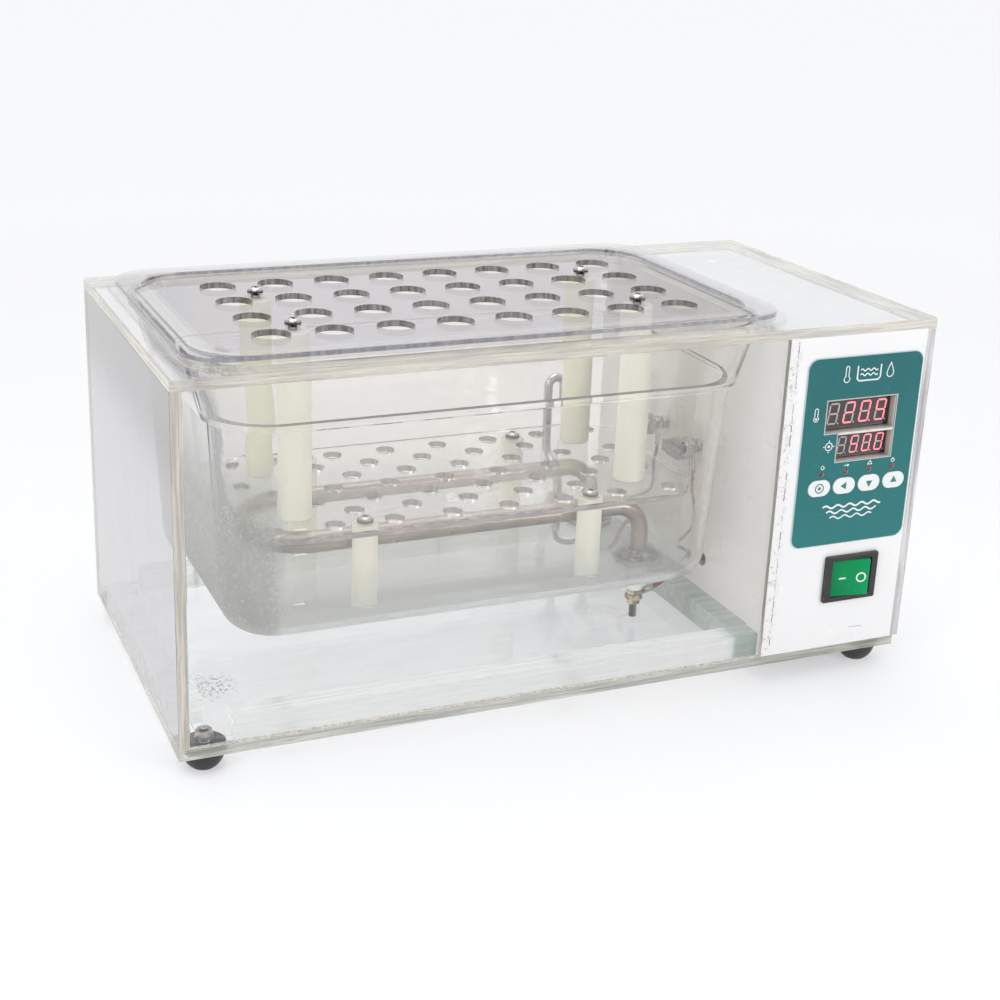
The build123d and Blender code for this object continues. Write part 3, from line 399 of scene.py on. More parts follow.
def holed_sheet(name, tint, rim_color, rim_amount, bore_color, bore_amount, area_x, area_half,
                haze, film_color, blotch_scale, wall_from, wall_to, wall_tint, rim_clear):
    """Clear moulded part whose upright walls (rim, hole bores) are painted darker than its flat
    faces, as painted shade.

    The bores lie within area_half (x, y) of the middle of the holed area, in mm.
    """
    mat = new_material(name)
    wall = mat.fall(mat.square_to("Z"), start=wall_from, end=wall_to)
    spans = []
    for axis, middle, half in (("X", scene_x(area_x), area_half[0] / MM),
                               ("Y", scene_y(HOLE_AREA_Y), area_half[1] / MM)):
        offset = mat.math("ABSOLUTE", mat.sub(mat.at(axis), middle))
        spans.append(mat.fall(offset, start=half, end=half + HOLE_AREA_FADE))
    inside = mat.mul(*spans)
    grit = mat.patches(scale=1300.0, rough=0.6, start=0.69, end=0.77)
    scratch = mat.patches(scale=500.0, detail=2, stretch=(0.07, 1.0, 1.0), start=0.63, end=0.73)
    ripple = mat.noise(scale=20.0, detail=2, rough=0.4)
    grain = mat.noise(scale=900.0, detail=2)
    normal = mat.bump(mat.add_scaled(ripple, grain, amount=0.01), strength=0.4, distance=0.00006)

    # painted shade: the dark colour of the rim and the hole bores
    dark = mat.blend(rim_color, bore_color, inside)
    blotch = mat.patches(blotch_scale, rough=0.6, stretch=(1.0, 1.0, 0.25), start=0.36, end=0.64)
    dark = mat.blend(dark, mat.blend(dark, (0.46, 0.43, 0.43), 0.5), blotch)
    tint = mat.blend(tint, mat.blend(dark, tint, 0.5), wall, amount=wall_tint)
    outer = mat.sub(1.0, inside)
    tint = mat.blend(tint, (0.925, 0.925, 0.932), outer, amount=rim_clear)
    if rim_clear:
        glass = mat.thin(tint, normal, rough=0.04)
    else:
        wear = mat.add_scaled(mat.mul(scratch, 0.04), wall, amount=0.05)
        glass = mat.principled(tint, mat.add(0.008, wear), normal=normal, ior=1.5,
                               transmission=1.0)
    film = mat.mix(0.4, mat.diffuse(film_color), mat.transparent())
    cover = mat.math("ADD", haze, mat.add_scaled(mat.mul(grit, 0.06), scratch, amount=0.04),
                     clamp=True)
    face = mat.mix(cover, glass, film)
    wall_surface = mat.principled(dark, 0.16, normal=normal, coat=0.8, coat_rough=0.05)
    amount = mat.add(mat.mul(inside, bore_amount), mat.mul(mat.sub(1.0, inside), rim_amount))
    # the bores and the rim are seen from outside only, so the sheet stays clear from within
    amount = mat.mul(amount, mat.front_only())
    surface = mat.mix(mat.mul(wall, amount), face, wall_surface)
    return mat.done(mat.see_through(surface, (0.965, 0.965, 0.965)))


paint(tank_material(), "tank")
# rim_color and bore_color below are painted shade on the upright walls
paint(holed_sheet("moulded_lid", tint=(0.815, 0.807, 0.828),
                  rim_color=(0.19, 0.20, 0.24), rim_amount=0.78,
                  bore_color=(0.055, 0.048, 0.042), bore_amount=0.86,
                  area_x=160.0, area_half=(132.5, 72.0), haze=0.015,
                  film_color=(0.85, 0.85, 0.85), blotch_scale=380.0, wall_from=0.22,
                  wall_to=0.58, wall_tint=0.35, rim_clear=1.0), "lid")
paint(holed_sheet("rack_sheet", tint=(0.975, 0.968, 0.960),
                  rim_color=(0.26, 0.230, 0.220), rim_amount=0.72,
                  bore_color=(0.30, 0.265, 0.255), bore_amount=0.66,
                  area_x=164.6, area_half=(115.0, 57.5), haze=0.02,
                  film_color=(0.84, 0.83, 0.79), blotch_scale=90.0, wall_from=0.45,
                  wall_to=0.80, wall_tint=0.6, rim_clear=0.0), "rack_plate")


# =============================================================================
# white sheets and nylon
# =============================================================================
def white_sheet():
    mat = new_material("opal_white_sheet")
    x, y, z = mat.at("X"), mat.at("Y"), mat.at("Z")
    tone = mat.blend((0.90, 0.90, 0.905), (0.86, 0.86, 0.865),
                     mat.patches(scale=12.0, detail=4, rough=0.6, start=0.35, end=0.7))
    # grime near the seams and the lower edge
    low = mat.mul(mat.rise(z, start=0.022, end=0.012), 0.35)
    seam = mat.math("MAXIMUM", mat.rise(x, start=0.1165, end=0.1140), low)
    dirt = mat.mul(seam, mat.patches(scale=500.0, detail=4, rough=0.65, start=0.48, end=0.62))
    tone = mat.blend(tone, (0.50, 0.47, 0.43), dirt, amount=0.40)
    specks = mat.patches(scale=700.0, detail=2, start=0.74, end=0.78)
    tone = mat.blend(tone, (0.40, 0.38, 0.35), specks, amount=0.35)
    # the sides of the display windows are painted silvery grey: painted shade inside the recess
    window = mat.band(y, rising=(scene_y(0.2), scene_y(0.6)), falling=(scene_y(7.0), scene_y(7.4)))
    window = mat.mul(window, mat.band(x, rising=(0.130, 0.132), falling=(0.1745, 0.1765)))
    window = mat.mul(window, mat.band(z, rising=(0.112, 0.114), falling=(0.152, 0.154)))
    tone = mat.blend(tone, (0.50, 0.48, 0.44), window)
    rough = mat.add_scaled(0.16, mat.noise(scale=90.0, detail=4), amount=0.16)
    height = mat.add_scaled(mat.noise(scale=26.0, detail=2, rough=0.4),
                            mat.noise(scale=1500.0, detail=2), amount=0.04)
    normal = mat.bump(height, strength=0.25, distance=0.00008)
    return mat.done(mat.principled(tone, rough, normal=normal, coat=0.25, coat_rough=0.08,
                                   subsurface=0.05, subsurface_scale=0.004))


def divider_material():
    """White sheet painted darker than the white front, darker and warmer still low on its left
    face, all as painted shade, with lighter, speckled front and back edges.
    """
    mat = new_material("opal_divider_sheet")
    left_face = mat.rise(mat.facing("X"), start=-0.5, end=-0.8)
    # painted shade: the base tone is darker than the white front's
    tone = mat.blend((0.80, 0.785, 0.765), (0.73, 0.712, 0.685),
                     mat.patches(scale=10.0, detail=4, rough=0.6, start=0.35, end=0.7))
    # painted shade: the left face grows darker and warmer toward the bottom
    lower = mat.rise(mat.at("Z"), start=0.17, end=0.03, low=0.25, high=0.75)
    tone = mat.blend(tone, (0.72, 0.675, 0.60), mat.mul(left_face, lower), amount=0.5)
    edge = mat.rise(mat.square_to("Y"), start=0.5, end=0.8)
    tone = mat.blend(tone, (0.86, 0.85, 0.845), edge)
    specks = mat.mul(edge, mat.patches(scale=420.0, detail=4, rough=0.7, start=0.56, end=0.64))
    tone = mat.blend(tone, (0.38, 0.34, 0.30), specks, amount=0.6)
    rough = mat.add_scaled(0.20, mat.noise(scale=70.0, detail=4), amount=0.2)
    height = mat.add_scaled(mat.noise(scale=26.0, detail=2, rough=0.4),
                            mat.noise(scale=1200.0, detail=2), amount=0.05)
    normal = mat.bump(height, strength=0.3, distance=0.0001)
    return mat.done(mat.principled(tone, rough, normal=normal, coat=0.2))


def nylon_material():
    """Cream nylon with turning rings, yellower toward the back."""
    mat = new_material("turned_nylon")
    back = mat.rise(mat.at("Y"), start=-0.04, end=0.05)
    tone = mat.blend((0.92, 0.905, 0.785), (0.87, 0.855, 0.725),
                     mat.patches(scale=45.0, detail=4, rough=0.6, start=0.3, end=0.7))
    tone = mat.blend(tone, (0.80, 0.765, 0.53), back, amount=0.6)
    stain = mat.patches(scale=160.0, detail=4, rough=0.65, start=0.62, end=0.75)
    tone = mat.blend(tone, (0.62, 0.58, 0.44), stain, amount=0.25)
    rings = mat.node("ShaderNodeTexWave",
                     {"Vector": mat.coords.outputs["Object"], "Scale": 420.0,
                      "Distortion": 1.2, "Detail": 2.0}, bands_direction="Z")
    height = mat.add(mat.mul(rings.outputs["Fac"], 0.4), mat.noise(scale=900.0))
    rough = mat.add_scaled(0.36, mat.noise(scale=120.0), amount=0.18)
    normal = mat.bump(height, strength=0.22, distance=0.00012)
    return mat.done(mat.principled(tone, rough, normal=normal, subsurface=0.22,
                                   subsurface_scale=0.003, subsurface_radius=(1.0, 0.85, 0.5),
                                   coat=0.08))


paint(white_sheet(), "control_front_panel", "control_liners")
paint(divider_material(), "divider_panel")
paint(nylon_material(), "long_posts", "short_posts")


# =============================================================================
# metal, rubber and small parts
# =============================================================================
def solid(name, tone_a, tone_b, rough, spread=0.08, metallic=0.0, patch=40.0, grain=1400.0,
          bump=0.15, depth=0.0001, speck=0.0, speck_color=(0.1, 0.1, 0.1), wear=0.0,
          wear_color=(0.8, 0.8, 0.8), scratch=0.0, **extras):
    """An opaque finish of two tones in patches.

    patch and grain are noise scales, spread is how far the roughness varies, bump and depth
    are the strength and height of the grain; speck, wear and scratch are amounts.
    """
    mat = new_material(name)
    tone = mat.blend(tone_a, tone_b, mat.patches(patch, detail=4, rough=0.6, start=0.3, end=0.7))
    if speck:
        spots = mat.patches(grain * 0.5, detail=2, start=0.66, end=0.74)
        tone = mat.blend(tone, speck_color, spots, amount=speck)
    if wear:
        pointiness = mat.node("ShaderNodeNewGeometry").outputs["Pointiness"]
        worn = mat.mul(mat.rise(pointiness, start=0.53, end=0.60),
                       mat.patches(grain * 0.3, start=0.35, end=0.6))
        tone = mat.blend(tone, wear_color, worn, amount=wear)
    gloss = mat.sub(mat.noise(patch * 4, detail=4, rough=0.6), 0.5)
    rough = mat.add_scaled(rough, gloss, amount=spread * 2.0, clamp=True)
    height = mat.noise(grain, rough=0.6)
    if scratch:
        along_y = mat.patches(scale=900.0, detail=2, stretch=(1.0, 0.06, 1.0),
                              start=0.62, end=0.72)
        along_x = mat.patches(scale=900.0, detail=2, stretch=(0.06, 1.0, 0.5),
                              offset=(3.1, 0.2, 0.7), start=0.64, end=0.74)
        lines = mat.mul(mat.add(along_y, along_x), scratch)
        height = mat.add(height, lines)
        rough = mat.add_scaled(rough, lines, amount=0.15, clamp=True)
    normal = mat.bump(height, bump, depth)
    return mat.done(mat.principled(tone, rough, metallic, normal, **extras))


def sheath_material(name, tone_a, tone_b, hot):
    """Metal tube with heat-coloured bands, and a painted highlight that makes it lighter on top."""
    mat = new_material(name)
    tone = mat.blend(tone_a, tone_b, mat.patches(scale=26.0, detail=4, rough=0.6,
                                                 stretch=(1.0, 2.0, 2.0), start=0.35, end=0.65))
    heat = mat.patches(scale=90.0, detail=5, rough=0.65, start=0.52, end=0.72)
    tone = mat.blend(tone, hot, heat, amount=0.55)
    flakes = mat.patches(scale=800.0, rough=0.6, start=0.66, end=0.74)
    tone = mat.blend(tone, (0.55, 0.53, 0.49), flakes, amount=0.3)
    rough = mat.add_scaled(0.15, mat.noise(scale=220.0, detail=4), amount=0.18)
    # painted highlight: faces that point upward are lightened
    painted_top_light = mat.rise(mat.facing("Z"), start=-0.7, end=0.8)
    tone = mat.blend(tone, tuple(min(1.0, v * 2.1) for v in tone_a), painted_top_light, amount=0.45)
    drawn = mat.noise(scale=600.0, detail=2, stretch=(0.1, 1.0, 1.0))
    height = mat.add_scaled(mat.noise(scale=1200.0), drawn, amount=0.8)
    normal = mat.bump(height, strength=0.18, distance=0.00015)
    return mat.done(mat.principled(tone, rough, metallic=1.0, normal=normal, anisotropic=0.3))


def hardware_material(name, bright, dark, axis, start, end):
    """Plated hardware: a painted highlight on the faces along its axis, painted shade in the
    recesses and flanks.
    """
    mat = new_material(name)
    face = mat.rise(mat.square_to(axis), start, end)
    grime = mat.patches(scale=900.0, rough=0.6, start=0.40, end=0.66)
    # painted highlight and painted shade: the colour follows which way each face points
    tone = mat.blend(dark, bright, face)
    tone = mat.blend(tone, tuple(v * 0.45 for v in bright), grime, amount=0.35)
    rough = mat.add_scaled(0.14, grime, amount=0.18)
    normal = mat.bump(mat.noise(scale=1500.0), strength=0.15, distance=0.0001)
    return mat.done(mat.principled(tone, rough, metallic=1.0, normal=normal))


plated = solid("plated_screws", (0.50, 0.475, 0.43), (0.34, 0.315, 0.285), rough=0.20, spread=0.10,
               metallic=1.0, patch=180.0, grain=2500.0, bump=0.2, speck=0.5,
               speck_color=(0.30, 0.27, 0.23), wear=0.5, wear_color=(0.92, 0.91, 0.88))
brass = solid("aged_brass", (0.46, 0.29, 0.12), (0.30, 0.185, 0.075), rough=0.26, spread=0.10,
              metallic=1.0, patch=160.0, grain=2200.0, bump=0.2, speck=0.6,
              speck_color=(0.20, 0.14, 0.08), wear=0.5, wear_color=(0.85, 0.72, 0.45))
paint(sheath_material("heater_sheath", (0.32, 0.275, 0.235), (0.22, 0.18, 0.145),
                      hot=(0.15, 0.105, 0.07)), "heater_tube")
paint(sheath_material("probe_sheath", (0.52, 0.52, 0.53), (0.38, 0.38, 0.39),
                      hot=(0.28, 0.275, 0.27)), "temperature_probe")
paint(solid("flange_steel", (0.36, 0.35, 0.34), (0.22, 0.215, 0.205), rough=0.26, spread=0.1,
            metallic=1.0, patch=120.0, grain=1800.0, bump=0.2, speck=0.4,
            speck_color=(0.25, 0.22, 0.2), wear=0.4, wear_color=(0.85, 0.85, 0.83), scratch=0.5),
      "heater_flanges")
paint(solid("silicone_seal", (0.36, 0.385, 0.385), (0.27, 0.29, 0.29), rough=0.45, spread=0.12,
            patch=90.0, grain=1600.0, bump=0.2, depth=0.0002, speck=0.4,
            speck_color=(0.3, 0.3, 0.28), subsurface=0.1, subsurface_scale=0.002),
      "heater_gaskets", "heater_seals", "electrode_seals")
paint(solid("glazed_ceramic", (0.86, 0.85, 0.80), (0.80, 0.78, 0.72), rough=0.18, patch=120.0,
            grain=1500.0, bump=0.12, speck=0.35, speck_color=(0.55, 0.48, 0.38), coat=0.5),
      "heater_insulators")
paint(plated, "base_screws", "foot_nuts", "rack_lower_screws", "inlet_screws",
      "heater_terminals", "electrode_terminals", "probe_gland")
# bright is a painted highlight and dark is painted shade on these screws and nuts
paint(hardware_material("plated_pan_screw", bright=(0.80, 0.78, 0.74), dark=(0.035, 0.033, 0.03),
                        axis="Z", start=0.35, end=0.92),
      "lid_screws", "rack_upper_screws", "foot_screws")
paint(hardware_material("heater_nut_plate", bright=(0.72, 0.64, 0.50), dark=(0.26, 0.22, 0.165),
                        axis="X", start=0.1, end=0.9), "heater_nuts")
paint(hardware_material("electrode_nut_plate", bright=(0.74, 0.68, 0.58),
                        dark=(0.22, 0.19, 0.155), axis="Z", start=0.1, end=0.9),
      "electrode_nuts")
paint(solid("threaded_steel", (0.20, 0.19, 0.18), (0.11, 0.105, 0.10), rough=0.30, spread=0.1,
            metallic=1.0, patch=300.0, grain=1800.0, bump=0.2, speck=0.4,
            speck_color=(0.5, 0.48, 0.44)), "heater_studs", "electrode_studs")
paint(brass, "heater_washers")
paint(solid("red_sleeve", (0.30, 0.05, 0.04), (0.22, 0.035, 0.03), rough=0.45, spread=0.1,
            patch=200.0, grain=1500.0, bump=0.3, depth=0.0002, speck=0.3,
            speck_color=(0.12, 0.05, 0.04)), "heater_wires")
paint(solid("brown_sleeve", (0.28, 0.13, 0.09), (0.20, 0.09, 0.06), rough=0.45, spread=0.1,
            patch=200.0, grain=1500.0, bump=0.3, depth=0.0002, speck=0.3), "electrode_wires")
paint(solid("grey_cable", (0.22, 0.225, 0.24), (0.16, 0.165, 0.17), rough=0.5, spread=0.1,
            patch=150.0, grain=1500.0, bump=0.3, depth=0.0002, speck=0.2), "probe_cable")
paint(solid("cutout_body", (0.10, 0.10, 0.10), (0.06, 0.06, 0.06), rough=0.4, spread=0.1,
            patch=150.0, grain=1500.0, bump=0.25, speck=0.3, speck_color=(0.3, 0.3, 0.3),
            wear=0.3), "thermal_cutout")
paint(solid("foot_rubber", (0.022, 0.022, 0.023), (0.035, 0.034, 0.033), rough=0.52, spread=0.12,
            patch=120.0, grain=1300.0, bump=0.45, depth=0.0003, speck=0.5,
            speck_color=(0.14, 0.13, 0.12)), "rubber_feet")


# =============================================================================
# control box
# =============================================================================
def label_material():
    """Teal film, darker toward the top, with pale cut edges."""
    mat = new_material("printed_label_film")
    tone = mat.blend((0.014, 0.178, 0.182), (0.008, 0.128, 0.138),
                     mat.rise(mat.at("Z"), start=0.07, end=0.175))
    cloud = mat.patches(scale=60.0, detail=4, rough=0.6, start=0.4, end=0.7)
    tone = mat.blend(tone, (0.022, 0.205, 0.205), cloud, amount=0.20)
    dots = mat.patches(scale=900.0, detail=2, start=0.73, end=0.78)
    tone = mat.blend(tone, (0.35, 0.45, 0.45), dots, amount=0.35)
    edge = mat.fall(mat.square_to("Y"), start=0.5, end=0.8)
    tone = mat.blend(tone, (0.50, 0.60, 0.60), edge)
    rough = mat.add_scaled(0.34, mat.noise(scale=80.0, detail=4), amount=0.14)
    height = mat.add_scaled(mat.noise(scale=2200.0, rough=0.6),
                            mat.noise(scale=30.0, detail=2), amount=1.5)
    normal = mat.bump(height, strength=0.22, distance=0.00006)
    return mat.done(mat.principled(tone, rough, normal=normal, coat=0.05, coat_rough=0.3,
                                   specular=0.35))


def rocker_material():
    """Green plastic with a faint glow, brighter toward its right end."""
    mat = new_material("rocker_green")
    tone = mat.blend((0.0, 0.225, 0.070), (0.001, 0.165, 0.052),
                     mat.patches(scale=70.0, detail=4, rough=0.6, start=0.35, end=0.65))
    right = mat.rise(mat.at("X"), start=0.148, end=0.168, high=0.35)
    tone = mat.blend(tone, (0.01, 0.44, 0.16), right)
    dots = mat.patches(scale=1100.0, detail=2, start=0.70, end=0.76)
    tone = mat.blend(tone, (0.3, 0.6, 0.4), dots, amount=0.3)
    rough = mat.add_scaled(0.10, mat.noise(scale=150.0, detail=4), amount=0.14)
    normal = mat.bump(mat.noise(scale=1400.0), strength=0.12, distance=0.0001)
    return mat.done(mat.principled(tone, rough, normal=normal, coat=0.08, coat_rough=0.08,
                                   subsurface=0.25, subsurface_scale=0.003,
                                   subsurface_radius=(0.2, 1.0, 0.4), specular=0.1,
                                   emission=(0.0, 0.42, 0.14), emission_strength=0.12))


paint(label_material(), "control_label")
paint(solid("key_film", (0.86, 0.88, 0.89), (0.80, 0.83, 0.84), rough=0.30, patch=150.0,
            grain=2200.0, bump=0.2, depth=0.00006, speck=0.2, speck_color=(0.5, 0.55, 0.55),
            coat=0.2), "button_set", "button_left", "button_down", "button_up")
paint(solid("smoked_window", (0.018, 0.012, 0.012), (0.028, 0.020, 0.019), rough=0.12,
            spread=0.05, patch=100.0, grain=1800.0, bump=0.08, speck=0.15,
            speck_color=(0.12, 0.1, 0.1), coat=0.7, coat_rough=0.05),
      "pv_display", "sv_display")
paint(solid("lamp_lens", (0.34, 0.02, 0.025), (0.22, 0.012, 0.015), rough=0.22, spread=0.06,
            patch=500.0, grain=2500.0, bump=0.15, speck=0.3, speck_color=(0.7, 0.2, 0.2),
            coat=0.6, emission=(0.6, 0.01, 0.02), emission_strength=0.10), "indicator_leds")
paint(solid("moulded_black", (0.016, 0.016, 0.017), (0.026, 0.026, 0.027), rough=0.34,
            spread=0.10, patch=110.0, grain=1300.0, bump=0.4, depth=0.00012, speck=0.35,
            speck_color=(0.12, 0.12, 0.12), wear=0.25, wear_color=(0.18, 0.18, 0.18)),
      "switch_housing", "power_inlet", "terminal_block", "solid_state_relay")
paint(rocker_material(), "switch_rocker")
paint(solid("solder_mask", (0.03, 0.16, 0.07), (0.02, 0.12, 0.05), rough=0.35, spread=0.1,
            patch=90.0, grain=900.0, bump=0.3, speck=0.6, speck_color=(0.55, 0.5, 0.3)),
      "controller_board")
paint(brass, "board_standoffs")
paint(solid("extruded_aluminium", (0.66, 0.67, 0.68), (0.55, 0.56, 0.57), rough=0.32, spread=0.1,
            metallic=1.0, patch=60.0, grain=1500.0, bump=0.2, scratch=0.6, wear=0.4,
            wear_color=(0.9, 0.9, 0.9)), "relay_heat_sink")
paint(solid("varnished_core", (0.09, 0.085, 0.08), (0.15, 0.12, 0.09), rough=0.38, spread=0.12,
            metallic=0.3, patch=90.0, grain=700.0, bump=0.5, depth=0.0003, speck=0.4,
            speck_color=(0.35, 0.22, 0.1), coat=0.4), "transformer")

# finishes of the added marks
white_print = solid("printed_white", (0.88, 0.90, 0.90), (0.80, 0.83, 0.83), rough=0.42,
                    patch=300.0, grain=2500.0, depth=0.00004, speck=0.25,
                    speck_color=(0.4, 0.5, 0.5))
teal_print = solid("printed_teal", (0.035, 0.20, 0.205), (0.028, 0.17, 0.175), rough=0.42,
                   patch=300.0, grain=2500.0, depth=0.00004, speck=0.2,
                   speck_color=(0.3, 0.5, 0.5))
lit_segment = solid("lit_segment", (0.85, 0.25, 0.28), (0.75, 0.18, 0.22), rough=0.3, spread=0.05,
                    patch=400.0, grain=2500.0, bump=0.08, emission=(1.0, 0.20, 0.24),
                    emission_strength=1.05)
unlit_segment = solid("unlit_segment", (0.60, 0.54, 0.53), (0.50, 0.45, 0.44), rough=0.35,
                      spread=0.05, patch=400.0, grain=2500.0, bump=0.08, speck=0.2)
# painted shade and grime: the finish of the seam line, also used for real specks and a nick
grime_and_shade_finish = solid("seam_shade_and_grime", (0.10, 0.085, 0.07), (0.045, 0.04, 0.035), rough=0.6,
                     spread=0.1, patch=400.0, grain=1800.0, bump=0.5, depth=0.0002, speck=0.5,
                     speck_color=(0.3, 0.27, 0.22))
silver_film = solid("silver_film", (0.62, 0.60, 0.56), (0.50, 0.48, 0.45), rough=0.38,
                    metallic=0.35, patch=200.0, grain=1800.0, speck=0.3,
                    speck_color=(0.3, 0.28, 0.25))

# =============================================================================
# softened edges on the sheets
# =============================================================================
# bevel width of each piece, mm
EDGE_BEVELS = {"base_plate": 0.35, "front_panel": 0.35, "left_panel": 0.35, "back_panel": 0.35,
               "right_panel": 0.35, "divider_panel": 0.25, "corner_strips": 0.5}

for name, width in EDGE_BEVELS.items():
    modifiers = NODES[name].modifiers
    modifiers.new("weld", "WELD").merge_threshold = 1e-6
    bevel = modifiers.new("edge", "BEVEL")
    bevel.width = width / MM
    bevel.segments = 2
    bevel.limit_method = "ANGLE"
    bevel.angle_limit = math.radians(50)
    bevel.use_clamp_overlap = True


# =============================================================================
# thin marks: closed solids drawn in x, z and given thickness along y
# =============================================================================
def flat(front, back):
    """The front and back depths of a mark that lies in a plane."""
    return (lambda x, z: front), (lambda x, z: back)


def on_face(node, lift, sink, default):
    """Depths lift in front of and sink behind a piece's front face, found by looking along +y."""
    bpy.context.evaluated_depsgraph_get()  # the ray casts need evaluated meshes
    piece = NODES[node]

    def face_y(x, z):
        hit, spot, _, _ = piece.ray_cast(place(x, -40.0, z), Vector((0, 1, 0)), distance=0.2)
        return spot.y * MM + MID_Y if hit else default

    return (lambda x, z: face_y(x, z) - lift), (lambda x, z: face_y(x, z) + sink)


class Marks:
    """One mesh of marks that share the same depths."""

    def __init__(self, depths):
        self.mesh = bmesh.new()
        self.front, self.back = depths

    def vertex(self, depth, x, z):
        return self.mesh.verts.new(place(x, depth(x, z), z))

    def prism(self, outline):
        front = [self.vertex(self.front, x, z) for x, z in outline]
        back = [self.vertex(self.back, x, z) for x, z in outline]
        self.mesh.faces.new(front)
        self.mesh.faces.new(list(reversed(back)))
        for i in range(len(outline)):
            j = (i + 1) % len(outline)
            self.mesh.faces.new([front[i], back[i], back[j], front[j]])

    def stroke(self, line, width, closed=False):
        """A bar of set width that follows a line of points, with mitred corners."""
        count = len(line)
        rows = []
        for i in range(count):
            point = Vector(line[i])
            before = after = None
            if i > 0 or closed:
                before = (point - Vector(line[i - 1])).normalized()
            if i < count - 1 or closed:
                after = (Vector(line[(i + 1) % count]) - point).normalized()
            if before is None:
                before = after
            if after is None:
                after = before
            normal = Vector((-before[1], before[0]))
            miter = normal + Vector((-after[1], after[0]))
            if miter.length < 1e-6:
                miter = normal.copy()
            miter.normalize()
            reach = (width / 2.0) / max(0.4, miter.dot(normal))
            left, right = point + miter * reach, point - miter * reach
            rows.append((self.vertex(self.front, *left), self.vertex(self.front, *right),
                         self.vertex(self.back, *right), self.vertex(self.back, *left)))
        for i in range(count if closed else count - 1):
            row, following = rows[i], rows[(i + 1) % count]
            for k in range(4):
                j = (k + 1) % 4
                self.mesh.faces.new([row[k], row[j], following[j], following[k]])
        if not closed:
            self.mesh.faces.new(list(reversed(rows[0])))
            self.mesh.faces.new(rows[-1])

    def finish(self, name, material, slot, body="case"):
        bmesh.ops.recalc_face_normals(self.mesh, faces=self.mesh.faces)
        data = bpy.data.meshes.new(name)
        self.mesh.to_mesh(data)
        self.mesh.free()
        piece = bpy.data.objects.new(name, data)
        bpy.context.scene.collection.objects.link(piece)
        data.materials.append(material)
        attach(piece, body)


def polar(x, z, radius, degrees):
    angle = math.radians(degrees)
    return (x + radius * math.cos(angle), z + radius * math.sin(angle))


def circle(x, z, radius, steps=28, start=0.0, end=360.0):
    return [polar(x, z, radius, start + (end - start) * i / steps) for i in range(steps)]


def arc(x, z, radius, steps, start, end):
    return circle(x, z, radius, steps, start, end) + [polar(x, z, radius, end)]


def wave(x_start, x_end, z, height, period, steps=48):
    length = x_end - x_start
    return [(x_start + length * i / steps,
             z + height * math.sin(2 * math.pi * length * i / steps / period))
            for i in range(steps + 1)]


def thermometer(x, stem_foot, stem_top, corner, bulb_z, bulb_radius, steps, opening):
    half = 0.9
    stem = [(x - half, stem_foot), (x - half, stem_top - corner), (x - half + corner, stem_top),
            (x + half - corner, stem_top), (x + half, stem_top - corner), (x + half, stem_foot)]
    return stem + arc(x, bulb_z, bulb_radius, steps, start=opening, end=-180 - opening)


def rounded_box(left, right, bottom, top, radius, steps=8):
    corners = ((right - radius, top - radius, 0), (left + radius, top - radius, 90),
               (left + radius, bottom + radius, 180), (right - radius, bottom + radius, 270))
    return [point for x, z, start in corners
            for point in arc(x, z, radius, steps, start, start + 90)]


# ---- seven-segment numbers: a top, b and c right, d bottom, e and f left, g middle ----
LIT_SEGMENTS = {"0": "abcdef", "2": "abged", "5": "afgcd", "9": "abcdfg", " ": ""}
DIGIT_SLANT = math.tan(math.radians(7.0))
DIGIT_FACE_Y = 3.8


def digit_outlines(x, z, width, height, bar):
    """The seven segments of a digit whose lower left corner is x, z."""
    gap = bar * 0.16
    half = bar / 2

    def level(mid):
        return [(half + gap, mid), (bar + gap, mid + half), (width - bar - gap, mid + half),
                (width - half - gap, mid), (width - bar - gap, mid - half), (bar + gap, mid - half)]

    def upright(mid, low, high):
        return [(mid, low + gap), (mid + half, low + half + gap), (mid + half, high - half - gap),
                (mid, high - gap), (mid - half, high - half - gap), (mid - half, low + half + gap)]

    bottom, middle, top = half, height / 2, height - half
    outlines = {"a": level(top), "g": level(middle), "d": level(bottom),
                "f": upright(half, middle, top), "b": upright(width - half, middle, top),
                "e": upright(half, bottom, middle), "c": upright(width - half, bottom, middle)}
    return {key: [(x + px + DIGIT_SLANT * pz, z + pz) for px, pz in outline]
            for key, outline in outlines.items()}


def readout(prefix, text, lit_dot, x, z, pitch, width, height, bar):
    """A row of digits, each followed by a point; lit_dot is the digit whose point is lit."""
    depths = flat(DIGIT_FACE_Y - 0.10, DIGIT_FACE_Y + 0.02)
    lit, unlit = Marks(depths), Marks(depths)
    for i, digit in enumerate(text):
        left = x + i * pitch
        for key, outline in digit_outlines(left, z, width, height, bar).items():
            (lit if key in LIT_SEGMENTS[digit] else unlit).prism(outline)
        dot = circle(left + width + bar * 0.95, z + bar * 0.45, bar * 0.52, steps=14)
        (lit if i == lit_dot else unlit).prism(dot)
    lit.finish(prefix + "_lit_segments", lit_segment, "lamp_red")
    unlit.finish(prefix + "_unlit_segments", unlit_segment, "display_dark")


def window_surround():
    """Thin silvery rim round both windows, and a pale strip between them that is a painted
    highlight on the ledge.
    """
    rim = Marks(flat(-0.66, -0.58))
    rim.stroke([(326.4, 140.2), (367.9, 140.2), (367.9, 107.4), (334.4, 107.4),
                (334.4, 122.8), (326.4, 122.8)], width=0.55, closed=True)
    rim.finish("window_rim", silver_film, "display_dark")
    # painted highlight: a pale strip where the ledge between the windows catches the light
    ledge = Marks(flat(-0.64, -0.57))
    ledge.prism([(334.9, 121.75), (367.3, 121.75), (367.3, 123.05), (334.9, 123.05)])
    ledge_highlight = solid("painted_ledge_highlight", (0.80, 0.78, 0.68), (0.70, 0.68, 0.58), rough=0.35, patch=250.0,
                  grain=1500.0, bump=0.2, speck=0.3, speck_color=(0.4, 0.36, 0.3))
    ledge.finish("window_ledge_highlight", ledge_highlight, "white_acrylic")


LABEL_PRINT = flat(-0.68, -0.58)


